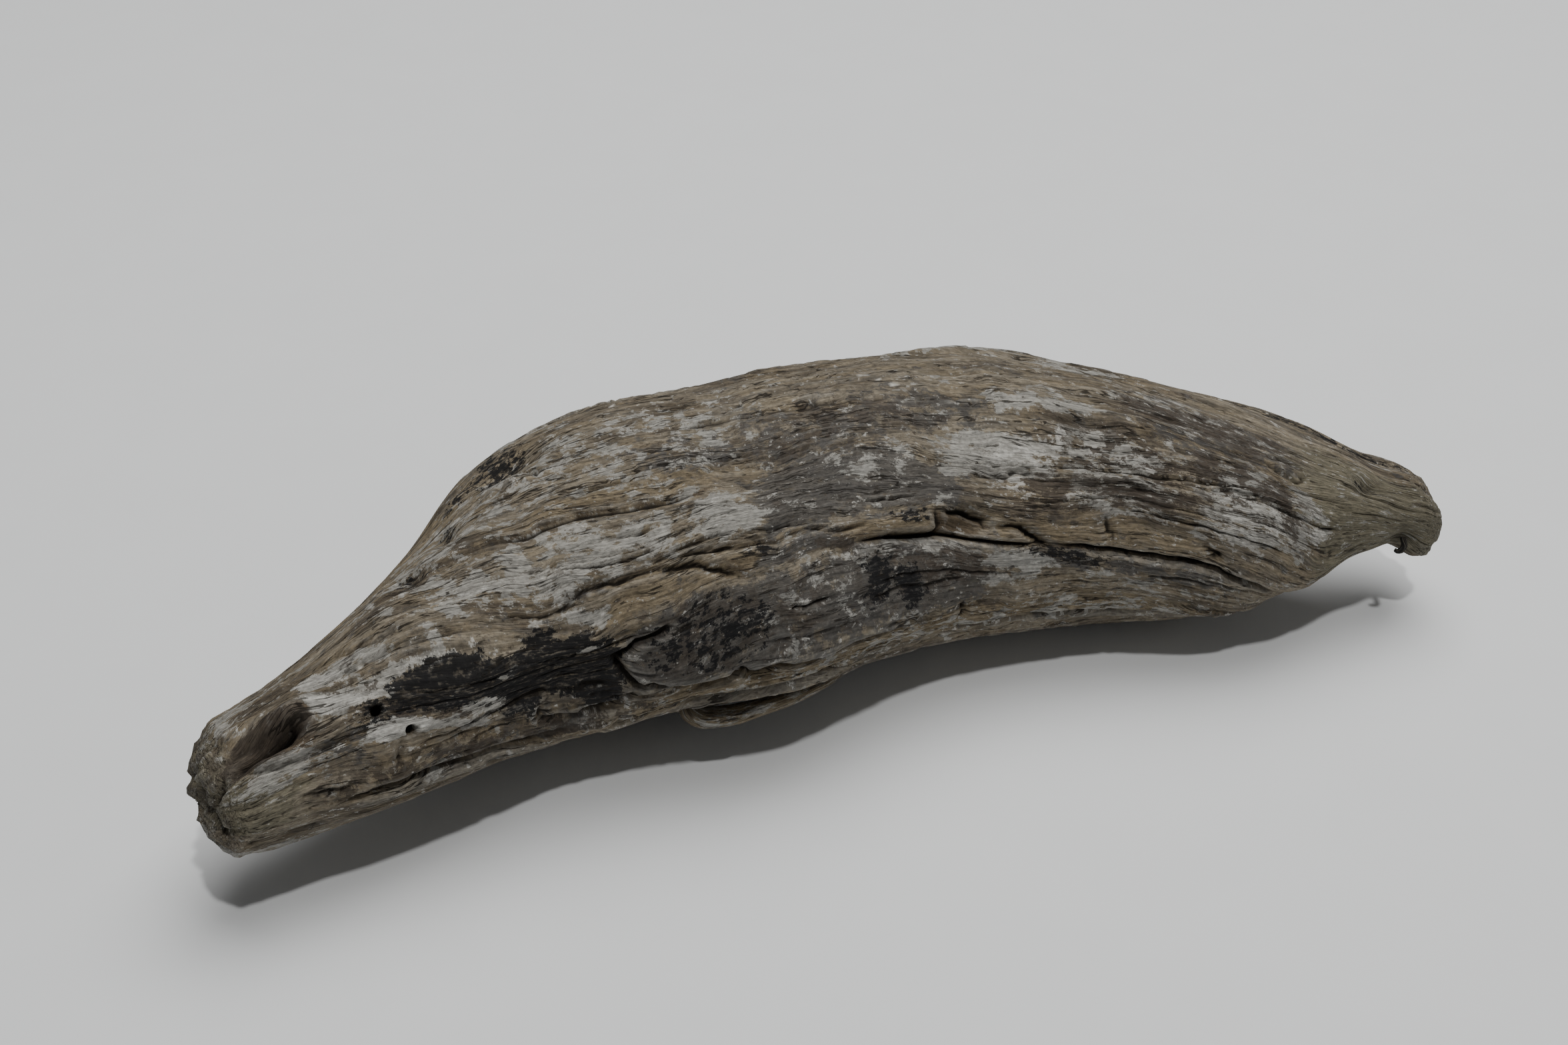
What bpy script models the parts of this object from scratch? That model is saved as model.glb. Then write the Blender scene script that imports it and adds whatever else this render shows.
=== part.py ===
# A piece of driftwood: a length of branch, worn and cracked along the grain, that lies on three worn places.
# Its surface is a loft whose columns follow the grain, so cracks and lifted layers run along them.
# Sizes are in millimetres until the mesh is made.
import math

import bmesh
import bpy
import numpy as np

# Sections across the wood: x along it from the blunt end, y to the back, z up, half width, half height
SECTIONS = (
    (-176, -21, 23, 16.2, 13.2),
    (-150, -16, 25.5, 19.6, 17.2),
    (-120, -7, 31.5, 27, 23),
    (-90, 6, 37.5, 38, 27),
    (-60, 7, 42.5, 44, 32),
    (-30, 7, 40.5, 47.5, 34),
    (0, 13, 38, 45, 34),
    (30, 14, 35.5, 43.5, 32.2),
    (60, 7, 34.5, 41, 30.5),
    (90, -6, 33, 38.5, 28.5),
    (112, -14, 33, 31, 22.5),
    (130, -21, 34.5, 22, 13.8),
    (142, -26.5, 31.4, 16.8, 10.4),
    (149, -28.6, 28.0, 15.2, 12.2),
    (157, -30.5, 23.6, 13.5, 13.0),
)
SQUARENESS = 2.3     # exponent of the sections, where 2 is an ellipse
END_SQUARENESS = 2.4
BLUNT_ROUNDING = 10.5
TIP_ROUNDING = 12.0
BLUNT_SLANT = 0.1    # the blunt end's front side stops short of its back side
SLANT_REACH = 18.0
BEND = (-0.9, -9.9, 8.3)  # the blunt end is bent this far forward and up, from BEND_FROM on
BEND_FROM = -56.0
BEND_POWER = 1.2

# Lines of the grain, which the mesh has a column on. Each has its own place in the grain, in degrees round
# a straight trunk, and the path it takes on this bent one: x, angle. Angle 0 faces front, 90 up, 180 back.
GRAIN = {
    "ledge": (-24, (
        (-176, -6), (-146, -3), (-131, -10), (-112, -13), (-98, -25), (-75, -33), (-56, -27),
        (-40, -19), (-20, -16), (20, -20), (60, -26), (80, -36), (94, -48), (103, -62), (112, -78),
        (125, -90), (158, -100))),
    "slab": (-4, (
        (-176, 22), (-150, 20), (-120, 12), (-90, 6), (-76, -1), (-66, -11), (-52, -12), (-42, -8),
        (-26, -6), (-4, -7), (30, -8), (60, -10), (80, -18), (92, -29), (100, -41), (108, -55),
        (120, -67), (158, -72))),
    "split": (20, (
        (-176, 50), (-164, 62), (-154, 64), (-142, 58), (-125, 40), (-105, 25), (-85, 21),
        (-64, 25), (-40, 32), (-20, 35), (-8, 32), (6, 28), (14, 25), (24, 20), (34, 16), (48, 13),
        (57, 10), (70, 6), (80, 3), (88, -2), (94, -9), (98, -15), (103, -24), (108, -33),
        (116, -43), (130, -50), (158, -48))),
    "pocket": (44, (
        (-176, 92), (-156, 94), (-142, 83), (-132, 76), (-120, 66), (-106, 51), (-99, 43),
        (-92, 37), (-80, 38), (-64, 42), (-36, 44), (-17, 43), (0, 38), (11, 36), (20, 33),
        (28, 29), (40, 24), (60, 21), (80, 15), (90, 9), (98, 2), (106, -9), (114, -22), (125, -29),
        (158, -26))),
    "step": (68, (
        (-176, 128), (-150, 122), (-130, 110), (-112, 98), (-101, 88), (-92, 80), (-80, 76),
        (-58, 67), (-42, 68), (-20, 66), (10, 60), (40, 52), (80, 42), (100, 32), (115, 16),
        (130, 2), (158, -2))),
    "ridge": (92, (
        (-176, 152), (-140, 140), (-110, 118), (-89, 104), (-60, 96), (-20, 92), (20, 88), (60, 80),
        (100, 64), (120, 48), (140, 30), (158, 22))),
    "back": (140, (
        (-176, 184), (-130, 168), (-80, 144), (-20, 140), (40, 134), (100, 110), (158, 70))),
    "wane": (185, (
        (-176, 216), (-120, 204), (-60, 186), (0, 190), (60, 178), (158, 130))),
    "under": (230, (
        (-176, 252), (-120, 246), (-60, 232), (0, 236), (60, 226), (158, 190))),
    "belly": (280, (
        (-176, 300), (-120, 292), (-60, 284), (0, 286), (60, 276), (100, 262), (158, 235))),
}
GRAIN_RADIUS = 38.0  # of the straight trunk

# Open cracks along those lines: line, from x, to x, depth, half width
CRACKS = (
    ("split", -16, 46, 5.0, 1.0),
    ("split", 36, 112, 5.4, 1.1),
    ("split", -170, -148, 5.0, 2.6),
    ("pocket", -74, -8, 2.4, 0.8),
    ("pocket", -168, -96, 2.2, 1.2),
    ("step", -106, -40, 2.4, 0.9),
    ("slab", -78, 8, 3.6, 0.9),
    ("ledge", -150, -88, 5.0, 1.4),
    ("ledge", -66, -14, 5.5, 1.7),
    ("ledge", 20, 92, 4.0, 1.2),
    ("ridge", 118, 148, 2.5, 1.6),
    ("back", -100, 24, 7.0, 1.6),
    ("wane", -20, 112, 5.0, 1.4),
    ("under", -132, -30, 6.0, 1.8),
    ("belly", -40, 92, 8.0, 2.0),
)
# Layers of wood that stand over their neighbour: line, from x, to x, height, how far they reach from it
LAYERS = (
    ("step", -114, -28, 1.3, 14),
    ("slab", -80, 12, 1.6, 14),
    ("ledge", -152, -64, 2.2, -9),
    ("pocket", -60, 12, 0.9, -12),
    ("split", 50, 104, 1.1, -13),
    ("back", -92, 60, 2.4, 20),
    ("under", -60, 84, 2.2, -18),
    ("ridge", 0, 90, 1.0, -12),
)
# Swellings and hollows: x, place in the grain, half length, half breadth, height
LUMPS = (
    (-88, 122, 22, 18, 2.0),     # shoulder
    (-104, 96, 13, 10, -1.4),    # dip before the shoulder
    (-84, 106, 12, 4.5, -4.5),   # hollow along the shoulder
    (-84, 89, 6, 4.5, 2.6),      # knot
    (-160, 25, 11, 3.6, -4.0),   # hollow behind the blunt end
    (-150, 24, 5, 6, 3.4),       # knot at the end of that hollow
    (19, 34, 7, 4.2, -4.2),      # pocket where a flake broke out
    (-34, -49, 22, 6.5, -4.2),   # where the splinter came from
    (133, 104, 6, 3.0, -3.0),    # slot on the tip
    (142, 54, 5.5, 5, -3.0),       # hollow under the tip
    (-105, 84, 3.5, 3.0, -2.4),
    (-116, 68, 4, 2.5, -2.2),
    (60, 157, 26, 12, 3.5),
    (-20, 163, 22, 10, -4.0),
    (-125, 168, 24, 9, -3.5),
    (10, 210, 34, 14, 3.5),
    (110, 214, 22, 10, -3.0),
    (-35, 257, 30, 14, -4.5),
    (55, 302, 30, 12, -3.0),
)
# Cracks that leave the grain: depth, half width, path as x, place in the grain
GASHES = (
    # edge of the lifted slab
    (4.5, 1.5, ((-63, 13), (-70, 10), (-76, 5), (-75, 0), (-72, -5), (-65, -4))),
    # from the left down to the split
    (3.5, 1.5, ((-86, 46), (-78, 47), (-70, 44), (-60, 40), (-53, 36), (-48, 30), (-46, 25), (-43, 21))),
    # under the flake, then round the pocket beside it
    (4.5, 1.5, ((-1, 21), (6, 22), (13, 22))),
    (4.0, 1.5, ((29, 38), (35, 40), (36, 35), (38, 28), (40, 21))),
    (4.0, 1.6, ((17, 46), (21, 47), (26, 43), (26, 36))),
    # down the blunt end and below its hollow
    (4.5, 1.6, ((-171, 21), (-174.5, 6), (-174.8, -8), (-173.5, -24))),
    (3.0, 1.4, ((-168, 18), (-160, 10), (-150, 7), (-140, 8))),
    # on the back
    (3.0, 1.5, ((62, 177), (74, 175), (88, 180), (104, 186))),
    (3.0, 1.5, ((-70, 202), (-52, 208), (-30, 205))),
)
HOLES = ((-133.5, 16), (-126.5, 1))   # bored by beetles: x, place in the grain
HOLE_RADIUS, HOLE_DEPTH = 1.5, 7.0

# A splinter that has sprung from the lower front, and a curled fibre under the tip.
# Stations: x, place in the grain, height over the surface, half breadth, half thickness
SPLINTER = (
    (-56.5, -43, -1.4, 1.6, 1.4), (-55, -44, 1.2, 3.2, 2.2), (-51.5, -45.5, 2.6, 4.1, 2.6),
    (-46, -47, 2.5, 4.3, 2.6), (-40, -48.5, 1.5, 4.0, 2.4), (-32, -50, 0.1, 3.4, 2.1),
    (-24, -50.5, -0.6, 2.7, 1.7), (-15, -51, -1.2, 2.0, 1.3), (-8, -51, -3.0, 1.2, 1.0))
CURL = (
    (142, 50, -1.6, 0.95, 0.95), (142, 48, 0.6, 0.85, 0.85), (141.5, 45.5, 1.6, 0.8, 0.8),
    (140.6, 43, 1.9, 0.7, 0.7), (139.8, 41, 1.4, 0.5, 0.5))

# The wood lies on three worn places: x, y, half length, half breadth, how far the wood swells down there
FEET = ((68, -9, 34, 14, 8.5), (18, 40, 34, 15, 8.5), (-88, 4, 32, 17, 14.0))
CLEARANCE = 1.4

# The mesh: distance between rings, rings in each end's turn, columns between neighbouring grain lines
RING_STEP = 5.6
END_RINGS = 5
COLUMNS = (5, 5, 6, 7, 7, 10, 8, 7, 7, 8)
RIMS = (2.2,)

NOISE_CELLS = 32
LATTICE = np.random.default_rng(11).uniform(-1.0, 1.0, (NOISE_CELLS,) * 3)


def noise(x, y, z):
    """Smooth noise between -1 and 1, on a repeating lattice of seeded values."""
    x, y, z = np.broadcast_arrays(x, y, z)
    corner = [np.floor(c).astype(int) for c in (x, y, z)]
    ease = [t * t * (3.0 - 2.0 * t) for t in (x - corner[0], y - corner[1], z - corner[2])]
    total = np.zeros(x.shape)
    for i in (0, 1):
        for j in (0, 1):
            for k in (0, 1):
                weight = ((ease[0] if i else 1 - ease[0]) * (ease[1] if j else 1 - ease[1])
                          * (ease[2] if k else 1 - ease[2]))
                cell = tuple((c + step) % NOISE_CELLS for c, step in zip(corner, (i, j, k)))
                total += weight * LATTICE[cell]
    return total


def curve_through(points, at):
    """The smooth curve through (x, value) points, read at each x."""
    xs, values = np.array(points, float).T
    slope = np.gradient(values, xs)
    at = np.clip(at, xs[0], xs[-1])
    i = np.clip(np.searchsorted(xs, at, side="right") - 1, 0, len(xs) - 2)
    step = xs[i + 1] - xs[i]
    t = (at - xs[i]) / step
    return ((2 * t**3 - 3 * t**2 + 1) * values[i] + (t**3 - 2 * t**2 + t) * step * slope[i]
            + (3 * t**2 - 2 * t**3) * values[i + 1] + (t**3 - t**2) * step * slope[i + 1])


def end_fill(x):
    """How much of its section the wood has at x: all of it, but for the rounded ends."""
    to_end = np.minimum((x - SECTIONS[0][0]) / BLUNT_ROUNDING, (SECTIONS[-1][0] - x) / TIP_ROUNDING)
    gap = 1.0 - np.clip(to_end, 0.0, 1.0)
    return (1.0 - gap ** END_SQUARENESS) ** (1 / END_SQUARENESS)


def body(x, angle):
    """The smooth wood's surface in mm, at x and an angle in degrees."""
    y0, z0, width, height = (curve_through([(s[0], s[k]) for s in SECTIONS], x) for k in range(1, 5))
    a = np.radians(angle)
    fill = end_fill(x)
    across = -fill * np.sign(np.cos(a)) * np.abs(np.cos(a)) ** (2 / SQUARENESS)
    up = fill * np.sign(np.sin(a)) * np.abs(np.sin(a)) ** (2 / SQUARENESS)
    lean = BLUNT_SLANT * width * (1 - across) / 2 * np.exp(-(x - SECTIONS[0][0]) / SLANT_REACH)
    bent = np.clip((BEND_FROM - x) / (BEND_FROM - SECTIONS[0][0]), 0, 1) ** BEND_POWER
    return np.stack([x + lean + BEND[0] * bent, y0 + width * across + BEND[1] * bent,
                     z0 + height * up + BEND[2] * bent], -1)


def ring_places(step, end_rings):
    """The x of each ring of the mesh, close together where the ends turn in."""
    first, last = SECTIONS[0][0], SECTIONS[-1][0]
    turn = np.linspace(0.0, math.pi / 2, end_rings + 2)[1:-1]
    turn = 1.0 - np.cos(turn) ** (2 / END_SQUARENESS)
    low, high = first + BLUNT_ROUNDING, last - TIP_ROUNDING
    middle = np.linspace(low, high, round((high - low) / step) + 1)
    return np.concatenate([first + BLUNT_ROUNDING * turn, middle, last - TIP_ROUNDING * turn[::-1]])


def grain_places(counts, rims):
    """The place in the grain of each column: on every line, at the rims beside it, and evenly between."""
    values = [value for value, _ in GRAIN.values()]
    out = []
    for low, high, count in zip(values, values[1:] + [values[0] + 360], counts):
        inner = np.linspace(low + rims[-1], high - rims[-1], count)[1:-1]
        out += [low, *(low + r for r in rims), *inner, *(high - r for r in rims[::-1])]
    return np.array(out)


def grain_paths(x):
    """The grain lines' places in the grain and, for each x, their angles."""
    values = np.array([value for value, _ in GRAIN.values()], float)
    paths = [curve_through(path, x) + 1.2 * noise(x / 8, 5.5 * k, 0.5) + 0.6 * noise(x / 3, 5.5 * k, 7.5)
             for k, (_, path) in enumerate(GRAIN.values())]
    return np.append(values, values[0] + 360), np.vstack([*paths, paths[0] + 360]).T


def angle_of(x, grain):
    """Angle in degrees of each place in the grain, on each ring."""
    values, paths = grain_paths(x)
    return np.array([np.interp(grain, values, ring) for ring in paths])


def place(x, grain):
    """Points of the smooth surface, from pairs of x and place in the grain."""
    x, grain = np.asarray(x, float), (np.asarray(grain, float) + 24) % 360 - 24
    values, paths = grain_paths(x)
    return body(x, np.array([np.interp(g, values, ring) for g, ring in zip(grain, paths)]))


def between(x, low, high, soft):
    """1 from low to high, easing to 0 there."""
    t = np.clip(np.minimum(x - low, high - x) / soft, 0.0, 1.0)
    return t * t * (3 - 2 * t)


def path_distance(points, path):
    """Distance of each point to a path on the smooth surface, and how far along the path it is, 0 to 1."""
    along = np.linspace(0, len(path) - 1, 60)
    x, grain = (np.interp(along, np.arange(len(path)), c) for c in np.array(path, float).T)
    line = place(x, grain + 1.2 * noise(x / 2.5, grain / 4.0, 3.3))
    gaps = np.linalg.norm(points[:, None] - line[None], axis=2)
    nearest = gaps.argmin(axis=1)
    return gaps.min(axis=1), along[nearest] / along[-1]


def spans(smooth, grain):
    """Distance in mm, round each ring, from each grain line's column."""
    steps = np.linalg.norm(np.roll(smooth, -1, 1) - smooth, axis=2)
    arc = np.cumsum(steps, axis=1) - steps
    around = steps.sum(axis=1)[:, None]
    out = {}
    for name, (value, _) in GRAIN.items():
        gap = arc - arc[:, [int(np.abs(grain - value).argmin())]]
        out[name] = (gap + around / 2) % around - around / 2
    return out


def crowding(grain, smooth):
    """How wide apart the grain runs, beside the straight trunk: less than 1 where it crowds together."""
    steps = np.linalg.norm(np.roll(smooth, -1, 1) - smooth, axis=2)
    wide = np.radians((np.roll(grain, -1) - grain) % 360) * GRAIN_RADIUS
    apart = np.minimum(steps / wide, 1.0)
    return sum(np.roll(apart, k, 1) for k in range(-2, 3)) / 5


def relief(x, grain, smooth):
    """Height in mm over the smooth wood."""
    along = np.broadcast_to(x[:, None], smooth.shape[:2])
    turn = np.radians(grain)[None, :]
    side, top = GRAIN_RADIUS * np.cos(turn), GRAIN_RADIUS * np.sin(turn)
    girth = curve_through([(s[0], (s[3] + s[4]) / 2) for s in SECTIONS], x)[:, None] / GRAIN_RADIUS
    height = 1.5 * noise(along / 60, side / 22, top / 22) + 1.0 * noise(along / 45 + 9, side / 11, top / 11)
    furrows = noise(along / 70 + 3, side / 6 + 7, top / 6)
    height = np.minimum(girth, 1) * height + 1.8 * crowding(grain, smooth) * (np.sqrt(np.abs(furrows)) - 0.6)
    apart = spans(smooth, grain)
    for name, low, high, rise, reach in LAYERS:
        gap = apart[name] * math.copysign(1, reach)
        lip = np.clip(gap / 1.2 + 0.5, 0, 1) * np.exp(-np.clip(gap, 0, None) ** 2 / (2 * reach * reach))
        height += rise * lip * between(along, low, high, 14)
    for x0, centre, length, breadth, rise in LUMPS:
        off = smooth - place([x0], [centre])
        flat = np.hypot(off[..., 1], off[..., 2])
        height += rise * np.exp(-((off[..., 0] / length) ** 2 + (flat / breadth) ** 2))
    for name, low, high, depth, half in CRACKS:
        open_part = between(along, low, high, 0.3 * (high - low))
        height -= depth * np.exp(-(np.abs(apart[name]) / half) ** 1.5) * open_part
    for depth, half, path in GASHES:
        ends = place(*np.array(path, float).T)
        near = ((smooth > ends.min(axis=0) - 4) & (smooth < ends.max(axis=0) + 4)).all(axis=2)
        gap, done = path_distance(smooth[near], path)
        height[near] -= depth * np.exp(-(gap / half) ** 2) * np.sin(math.pi * (0.08 + 0.84 * done)) ** 0.5
    end = np.exp(-np.minimum(x - SECTIONS[0][0], SECTIONS[-1][0] - x) / 6.0)[:, None]
    rough = noise(smooth[..., 0] / 5, smooth[..., 1] / 5, smooth[..., 2] / 5)
    return height * (1 - 0.8 * end) + 1.8 * end * rough


def normals(grid):
    """Outward unit normals of a grid of rings."""
    normal = np.cross(np.roll(grid, -1, 1) - np.roll(grid, 1, 1), np.gradient(grid, axis=0))
    normal *= np.sign(((grid - grid.mean(axis=1, keepdims=True)) * normal).sum(axis=2)).mean()
    return normal / np.linalg.norm(normal, axis=2, keepdims=True)


def settle(points):
    """Lowers the three feet, wears them flat at z = 0 and keeps the rest clear of the ground."""
    out = points.copy()
    low = between(-out[..., 2], -30, 99, 16)
    near = np.zeros(low.shape)
    for x, y, length, breadth, drop in FEET:
        swell = np.exp(-((points[..., 0] - x) / length) ** 2 - ((points[..., 1] - y) / breadth) ** 2)
        out[..., 2] -= drop * swell * low
        near = np.maximum(near, swell)
    out[..., 2] = np.maximum(out[..., 2], CLEARANCE * (1 - np.clip(near * 2.2, 0, 1)))
    return out


def surface(x, grain):
    """The wood's surface in mm, a grid of rings."""
    smooth = body(x[:, None], angle_of(x, grain))
    return settle(smooth + relief(x, grain, smooth)[..., None] * normals(smooth))


def strand(stations, sides):
    """Rings of a strand of wood on the surface, from its stations."""
    x, grain, lift, broad, thick = np.array(stations, float).T
    on = place(x, grain)
    out = np.cross(place(x + 0.5, grain) - place(x - 0.5, grain), place(x, grain + 0.5) - place(x, grain - 0.5))
    out /= np.linalg.norm(out, axis=1, keepdims=True)
    centre = on + out * lift[:, None]
    run = np.gradient(centre, axis=0)
    side = np.cross(out, run)
    side /= np.linalg.norm(side, axis=1, keepdims=True)
    lid = np.cross(run, side)
    lid /= np.linalg.norm(lid, axis=1, keepdims=True)
    turn = np.linspace(0, 2 * math.pi, sides, endpoint=False)[None, :, None]
    return (centre[:, None] + side[:, None] * broad[:, None, None] * np.cos(turn)
            + lid[:, None] * thick[:, None, None] * np.sin(turn))


def closed_mesh(name, grid, tips):
    """A mesh object in metres from rings of points, closed by a fan at each end."""
    rings, columns = grid.shape[:2]
    number = np.arange(rings * columns).reshape(rings, columns)
    after = np.roll(number, -1, axis=1)
    faces = np.stack([number[:-1], after[:-1], after[1:], number[1:]], axis=2).reshape(-1, 4).tolist()
    last = rings * columns
    faces += [[last, b, a] for a, b in zip(number[0], after[0])]
    faces += [[last + 1, a, b] for a, b in zip(number[-1], after[-1])]
    mesh = bpy.data.meshes.new(name)
    mesh.from_pydata((np.vstack([grid.reshape(-1, 3), tips]) * 0.001).tolist(), [], faces)
    turned = bmesh.new()
    turned.from_mesh(mesh)
    bmesh.ops.triangulate(turned, faces=turned.faces[:])
    bmesh.ops.recalc_face_normals(turned, faces=turned.faces[:])
    turned.to_mesh(mesh)
    turned.free()
    return bpy.data.objects.new(name, mesh)


def bore(name, x, grain, origin):
    """A cutter for a beetle's hole, square to the surface."""
    rings = strand([(x + d * 0.02, grain, d, HOLE_RADIUS, HOLE_RADIUS) for d in (2.0, -HOLE_DEPTH)], 4)
    out = rings.mean(axis=1)
    run = (out[0] - out[1]) / np.linalg.norm(out[0] - out[1])
    side = np.cross(run, (0.0, 0.0, 1.0))
    side /= np.linalg.norm(side)
    turn = np.linspace(0, 2 * math.pi, 12, endpoint=False)[None, :, None]
    circle = HOLE_RADIUS * (side * np.cos(turn) + np.cross(run, side) * np.sin(turn))
    return closed_mesh(name, out[:, None] + circle - origin, out - origin)


def collection(name, hidden=False):
    made = bpy.data.collections.new(name)
    made.hide_render = hidden
    bpy.context.scene.collection.children.link(made)
    return made


def wood_material():
    material = bpy.data.materials.new("weathered wood")
    material.use_nodes = True
    shader = material.node_tree.nodes["Principled BSDF"]
    shader.inputs["Base Color"].default_value = (0.30, 0.26, 0.21, 1.0)
    shader.inputs["Roughness"].default_value = 0.85
    shader.inputs["Metallic"].default_value = 0.0
    return material


def grow():
    """The driftwood, one solid, with the middle of its underside at the origin."""
    home, strands, cutters = collection("driftwood"), collection("strands"), collection("cutters", True)
    grid = surface(ring_places(RING_STEP, END_RINGS), grain_places(COLUMNS, RIMS))
    low, high = grid.min(axis=(0, 1)), grid.max(axis=(0, 1))
    origin = np.array([(low[0] + high[0]) / 2, (low[1] + high[1]) / 2, 0.0])
    ends = body(np.array([float(SECTIONS[0][0]), float(SECTIONS[-1][0])]), np.zeros(2))
    wood = closed_mesh("driftwood", grid - origin, ends - origin)
    wood.data.materials.append(wood_material())
    home.objects.link(wood)
    for name, stations in (("splinter", SPLINTER), ("curl", CURL)):
        rings = strand(stations, 10)
        strands.objects.link(closed_mesh(name, rings - origin, rings[[0, -1]].mean(axis=1) - origin))
    join = wood.modifiers.new("strands", "BOOLEAN")
    join.operation, join.solver, join.operand_type, join.collection = "UNION", "EXACT", "COLLECTION", strands
    bpy.context.view_layer.objects.active = wood
    bpy.ops.object.modifier_apply(modifier=join.name)
    for piece in list(strands.objects):
        bpy.data.objects.remove(piece)
    bpy.data.collections.remove(strands)
    for k, (x, grain) in enumerate(HOLES):
        cutter = bore(f"hole_{k + 1}", x, grain, origin)
        cutter.display_type, cutter.hide_render = "WIRE", True
        cutters.objects.link(cutter)
    cut = wood.modifiers.new("holes", "BOOLEAN")
    cut.operation, cut.solver, cut.operand_type, cut.collection = "DIFFERENCE", "EXACT", "COLLECTION", cutters
    print("moved by", (-origin).round(2).tolist(), "mm")


for stale in list(bpy.data.objects):
    bpy.data.objects.remove(stale)
grow()
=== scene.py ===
import math

import bpy
import numpy as np
from mathutils import Matrix, Vector


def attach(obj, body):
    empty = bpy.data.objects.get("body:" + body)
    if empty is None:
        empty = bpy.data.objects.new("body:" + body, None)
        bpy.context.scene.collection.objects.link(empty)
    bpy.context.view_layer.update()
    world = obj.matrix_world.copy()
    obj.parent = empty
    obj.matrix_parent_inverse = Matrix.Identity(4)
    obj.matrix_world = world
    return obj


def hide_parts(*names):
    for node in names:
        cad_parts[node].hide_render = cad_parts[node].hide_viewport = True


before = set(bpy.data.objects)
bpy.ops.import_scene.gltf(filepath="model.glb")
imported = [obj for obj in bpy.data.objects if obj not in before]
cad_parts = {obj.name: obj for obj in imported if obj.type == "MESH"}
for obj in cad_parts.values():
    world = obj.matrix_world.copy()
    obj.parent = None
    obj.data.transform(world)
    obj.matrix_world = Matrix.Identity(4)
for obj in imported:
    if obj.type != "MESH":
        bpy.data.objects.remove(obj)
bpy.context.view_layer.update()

# Sections across the wood: x along it from the blunt end, y to the back, z up, half width, half height
SECTIONS = (
    (-176, -21, 23, 16.2, 13.2),
    (-150, -16, 25.5, 19.6, 17.2),
    (-120, -7, 31.5, 27, 23),
    (-90, 6, 37.5, 38, 27),
    (-60, 7, 42.5, 44, 32),
    (-30, 7, 40.5, 47.5, 34),
    (0, 13, 38, 45, 34),
    (30, 14, 35.5, 43.5, 32.2),
    (60, 7, 34.5, 41, 30.5),
    (90, -6, 33, 38.5, 28.5),
    (112, -14, 33, 31, 22.5),
    (130, -21, 34.5, 22, 13.8),
    (142, -26.5, 31.4, 16.8, 10.4),
    (149, -28.6, 28.0, 15.2, 12.2),
    (157, -30.5, 23.6, 13.5, 13.0),
)
FIRST, LAST = SECTIONS[0][0], SECTIONS[-1][0]
BOX_MIDDLE = np.array([-9.794, 7.156, 0.0])   # of the solid's box, at the level that it lies on
SQUARENESS = 2.3     # exponent of the sections, where 2 is an ellipse
END_SQUARENESS = 2.4
BLUNT_ROUNDING = 10.5
TIP_ROUNDING = 12.0
BLUNT_SLANT = 0.1    # the blunt end's front side stops short of its back side
SLANT_REACH = 18.0
BEND = (-0.9, -9.9, 8.3)  # the blunt end is bent this far forward and up, from BEND_FROM on
BEND_FROM = -56.0
BEND_POWER = 1.2
# Towards the ends, over END_REACH, the relief is calmer by this share and rougher by this height
END_REACH, END_CALM, END_ROUGHNESS = 6.0, 0.8, 1.8

# Lines of the grain, which the mesh has a column on. Each has its own place in the grain, in degrees round
# a straight trunk, and the path it takes on this bent one: x, angle. Angle 0 faces front, 90 up, 180 back.
GRAIN = {
    "ledge": (-24, (
        (-176, -6), (-146, -3), (-131, -10), (-112, -13), (-98, -25), (-75, -33), (-56, -27),
        (-40, -19), (-20, -16), (20, -20), (60, -26), (80, -36), (94, -48), (103, -62), (112, -78),
        (125, -90), (158, -100))),
    "slab": (-4, (
        (-176, 22), (-150, 20), (-120, 12), (-90, 6), (-76, -1), (-66, -11), (-52, -12), (-42, -8),
        (-26, -6), (-4, -7), (30, -8), (60, -10), (80, -18), (92, -29), (100, -41), (108, -55),
        (120, -67), (158, -72))),
    "split": (20, (
        (-176, 50), (-164, 62), (-154, 64), (-142, 58), (-125, 40), (-105, 25), (-85, 21),
        (-64, 25), (-40, 32), (-20, 35), (-8, 32), (6, 28), (14, 25), (24, 20), (34, 16), (48, 13),
        (57, 10), (70, 6), (80, 3), (88, -2), (94, -9), (98, -15), (103, -24), (108, -33),
        (116, -43), (130, -50), (158, -48))),
    "pocket": (44, (
        (-176, 92), (-156, 94), (-142, 83), (-132, 76), (-120, 66), (-106, 51), (-99, 43),
        (-92, 37), (-80, 38), (-64, 42), (-36, 44), (-17, 43), (0, 38), (11, 36), (20, 33),
        (28, 29), (40, 24), (60, 21), (80, 15), (90, 9), (98, 2), (106, -9), (114, -22), (125, -29),
        (158, -26))),
    "step": (68, (
        (-176, 128), (-150, 122), (-130, 110), (-112, 98), (-101, 88), (-92, 80), (-80, 76),
        (-58, 67), (-42, 68), (-20, 66), (10, 60), (40, 52), (80, 42), (100, 32), (115, 16),
        (130, 2), (158, -2))),
    "ridge": (92, (
        (-176, 152), (-140, 140), (-110, 118), (-89, 104), (-60, 96), (-20, 92), (20, 88), (60, 80),
        (100, 64), (120, 48), (140, 30), (158, 22))),
    "back": (140, (
        (-176, 184), (-130, 168), (-80, 144), (-20, 140), (40, 134), (100, 110), (158, 70))),
    "wane": (185, (
        (-176, 216), (-120, 204), (-60, 186), (0, 190), (60, 178), (158, 130))),
    "under": (230, (
        (-176, 252), (-120, 246), (-60, 232), (0, 236), (60, 226), (158, 190))),
    "belly": (280, (
        (-176, 300), (-120, 292), (-60, 284), (0, 286), (60, 276), (100, 262), (158, 235))),
}
GRAIN_START = -24
GRAIN_RADIUS = 38.0  # of the straight trunk
PLACE_MM = 0.7       # width of a degree of the grain, for the patches of colour

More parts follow.
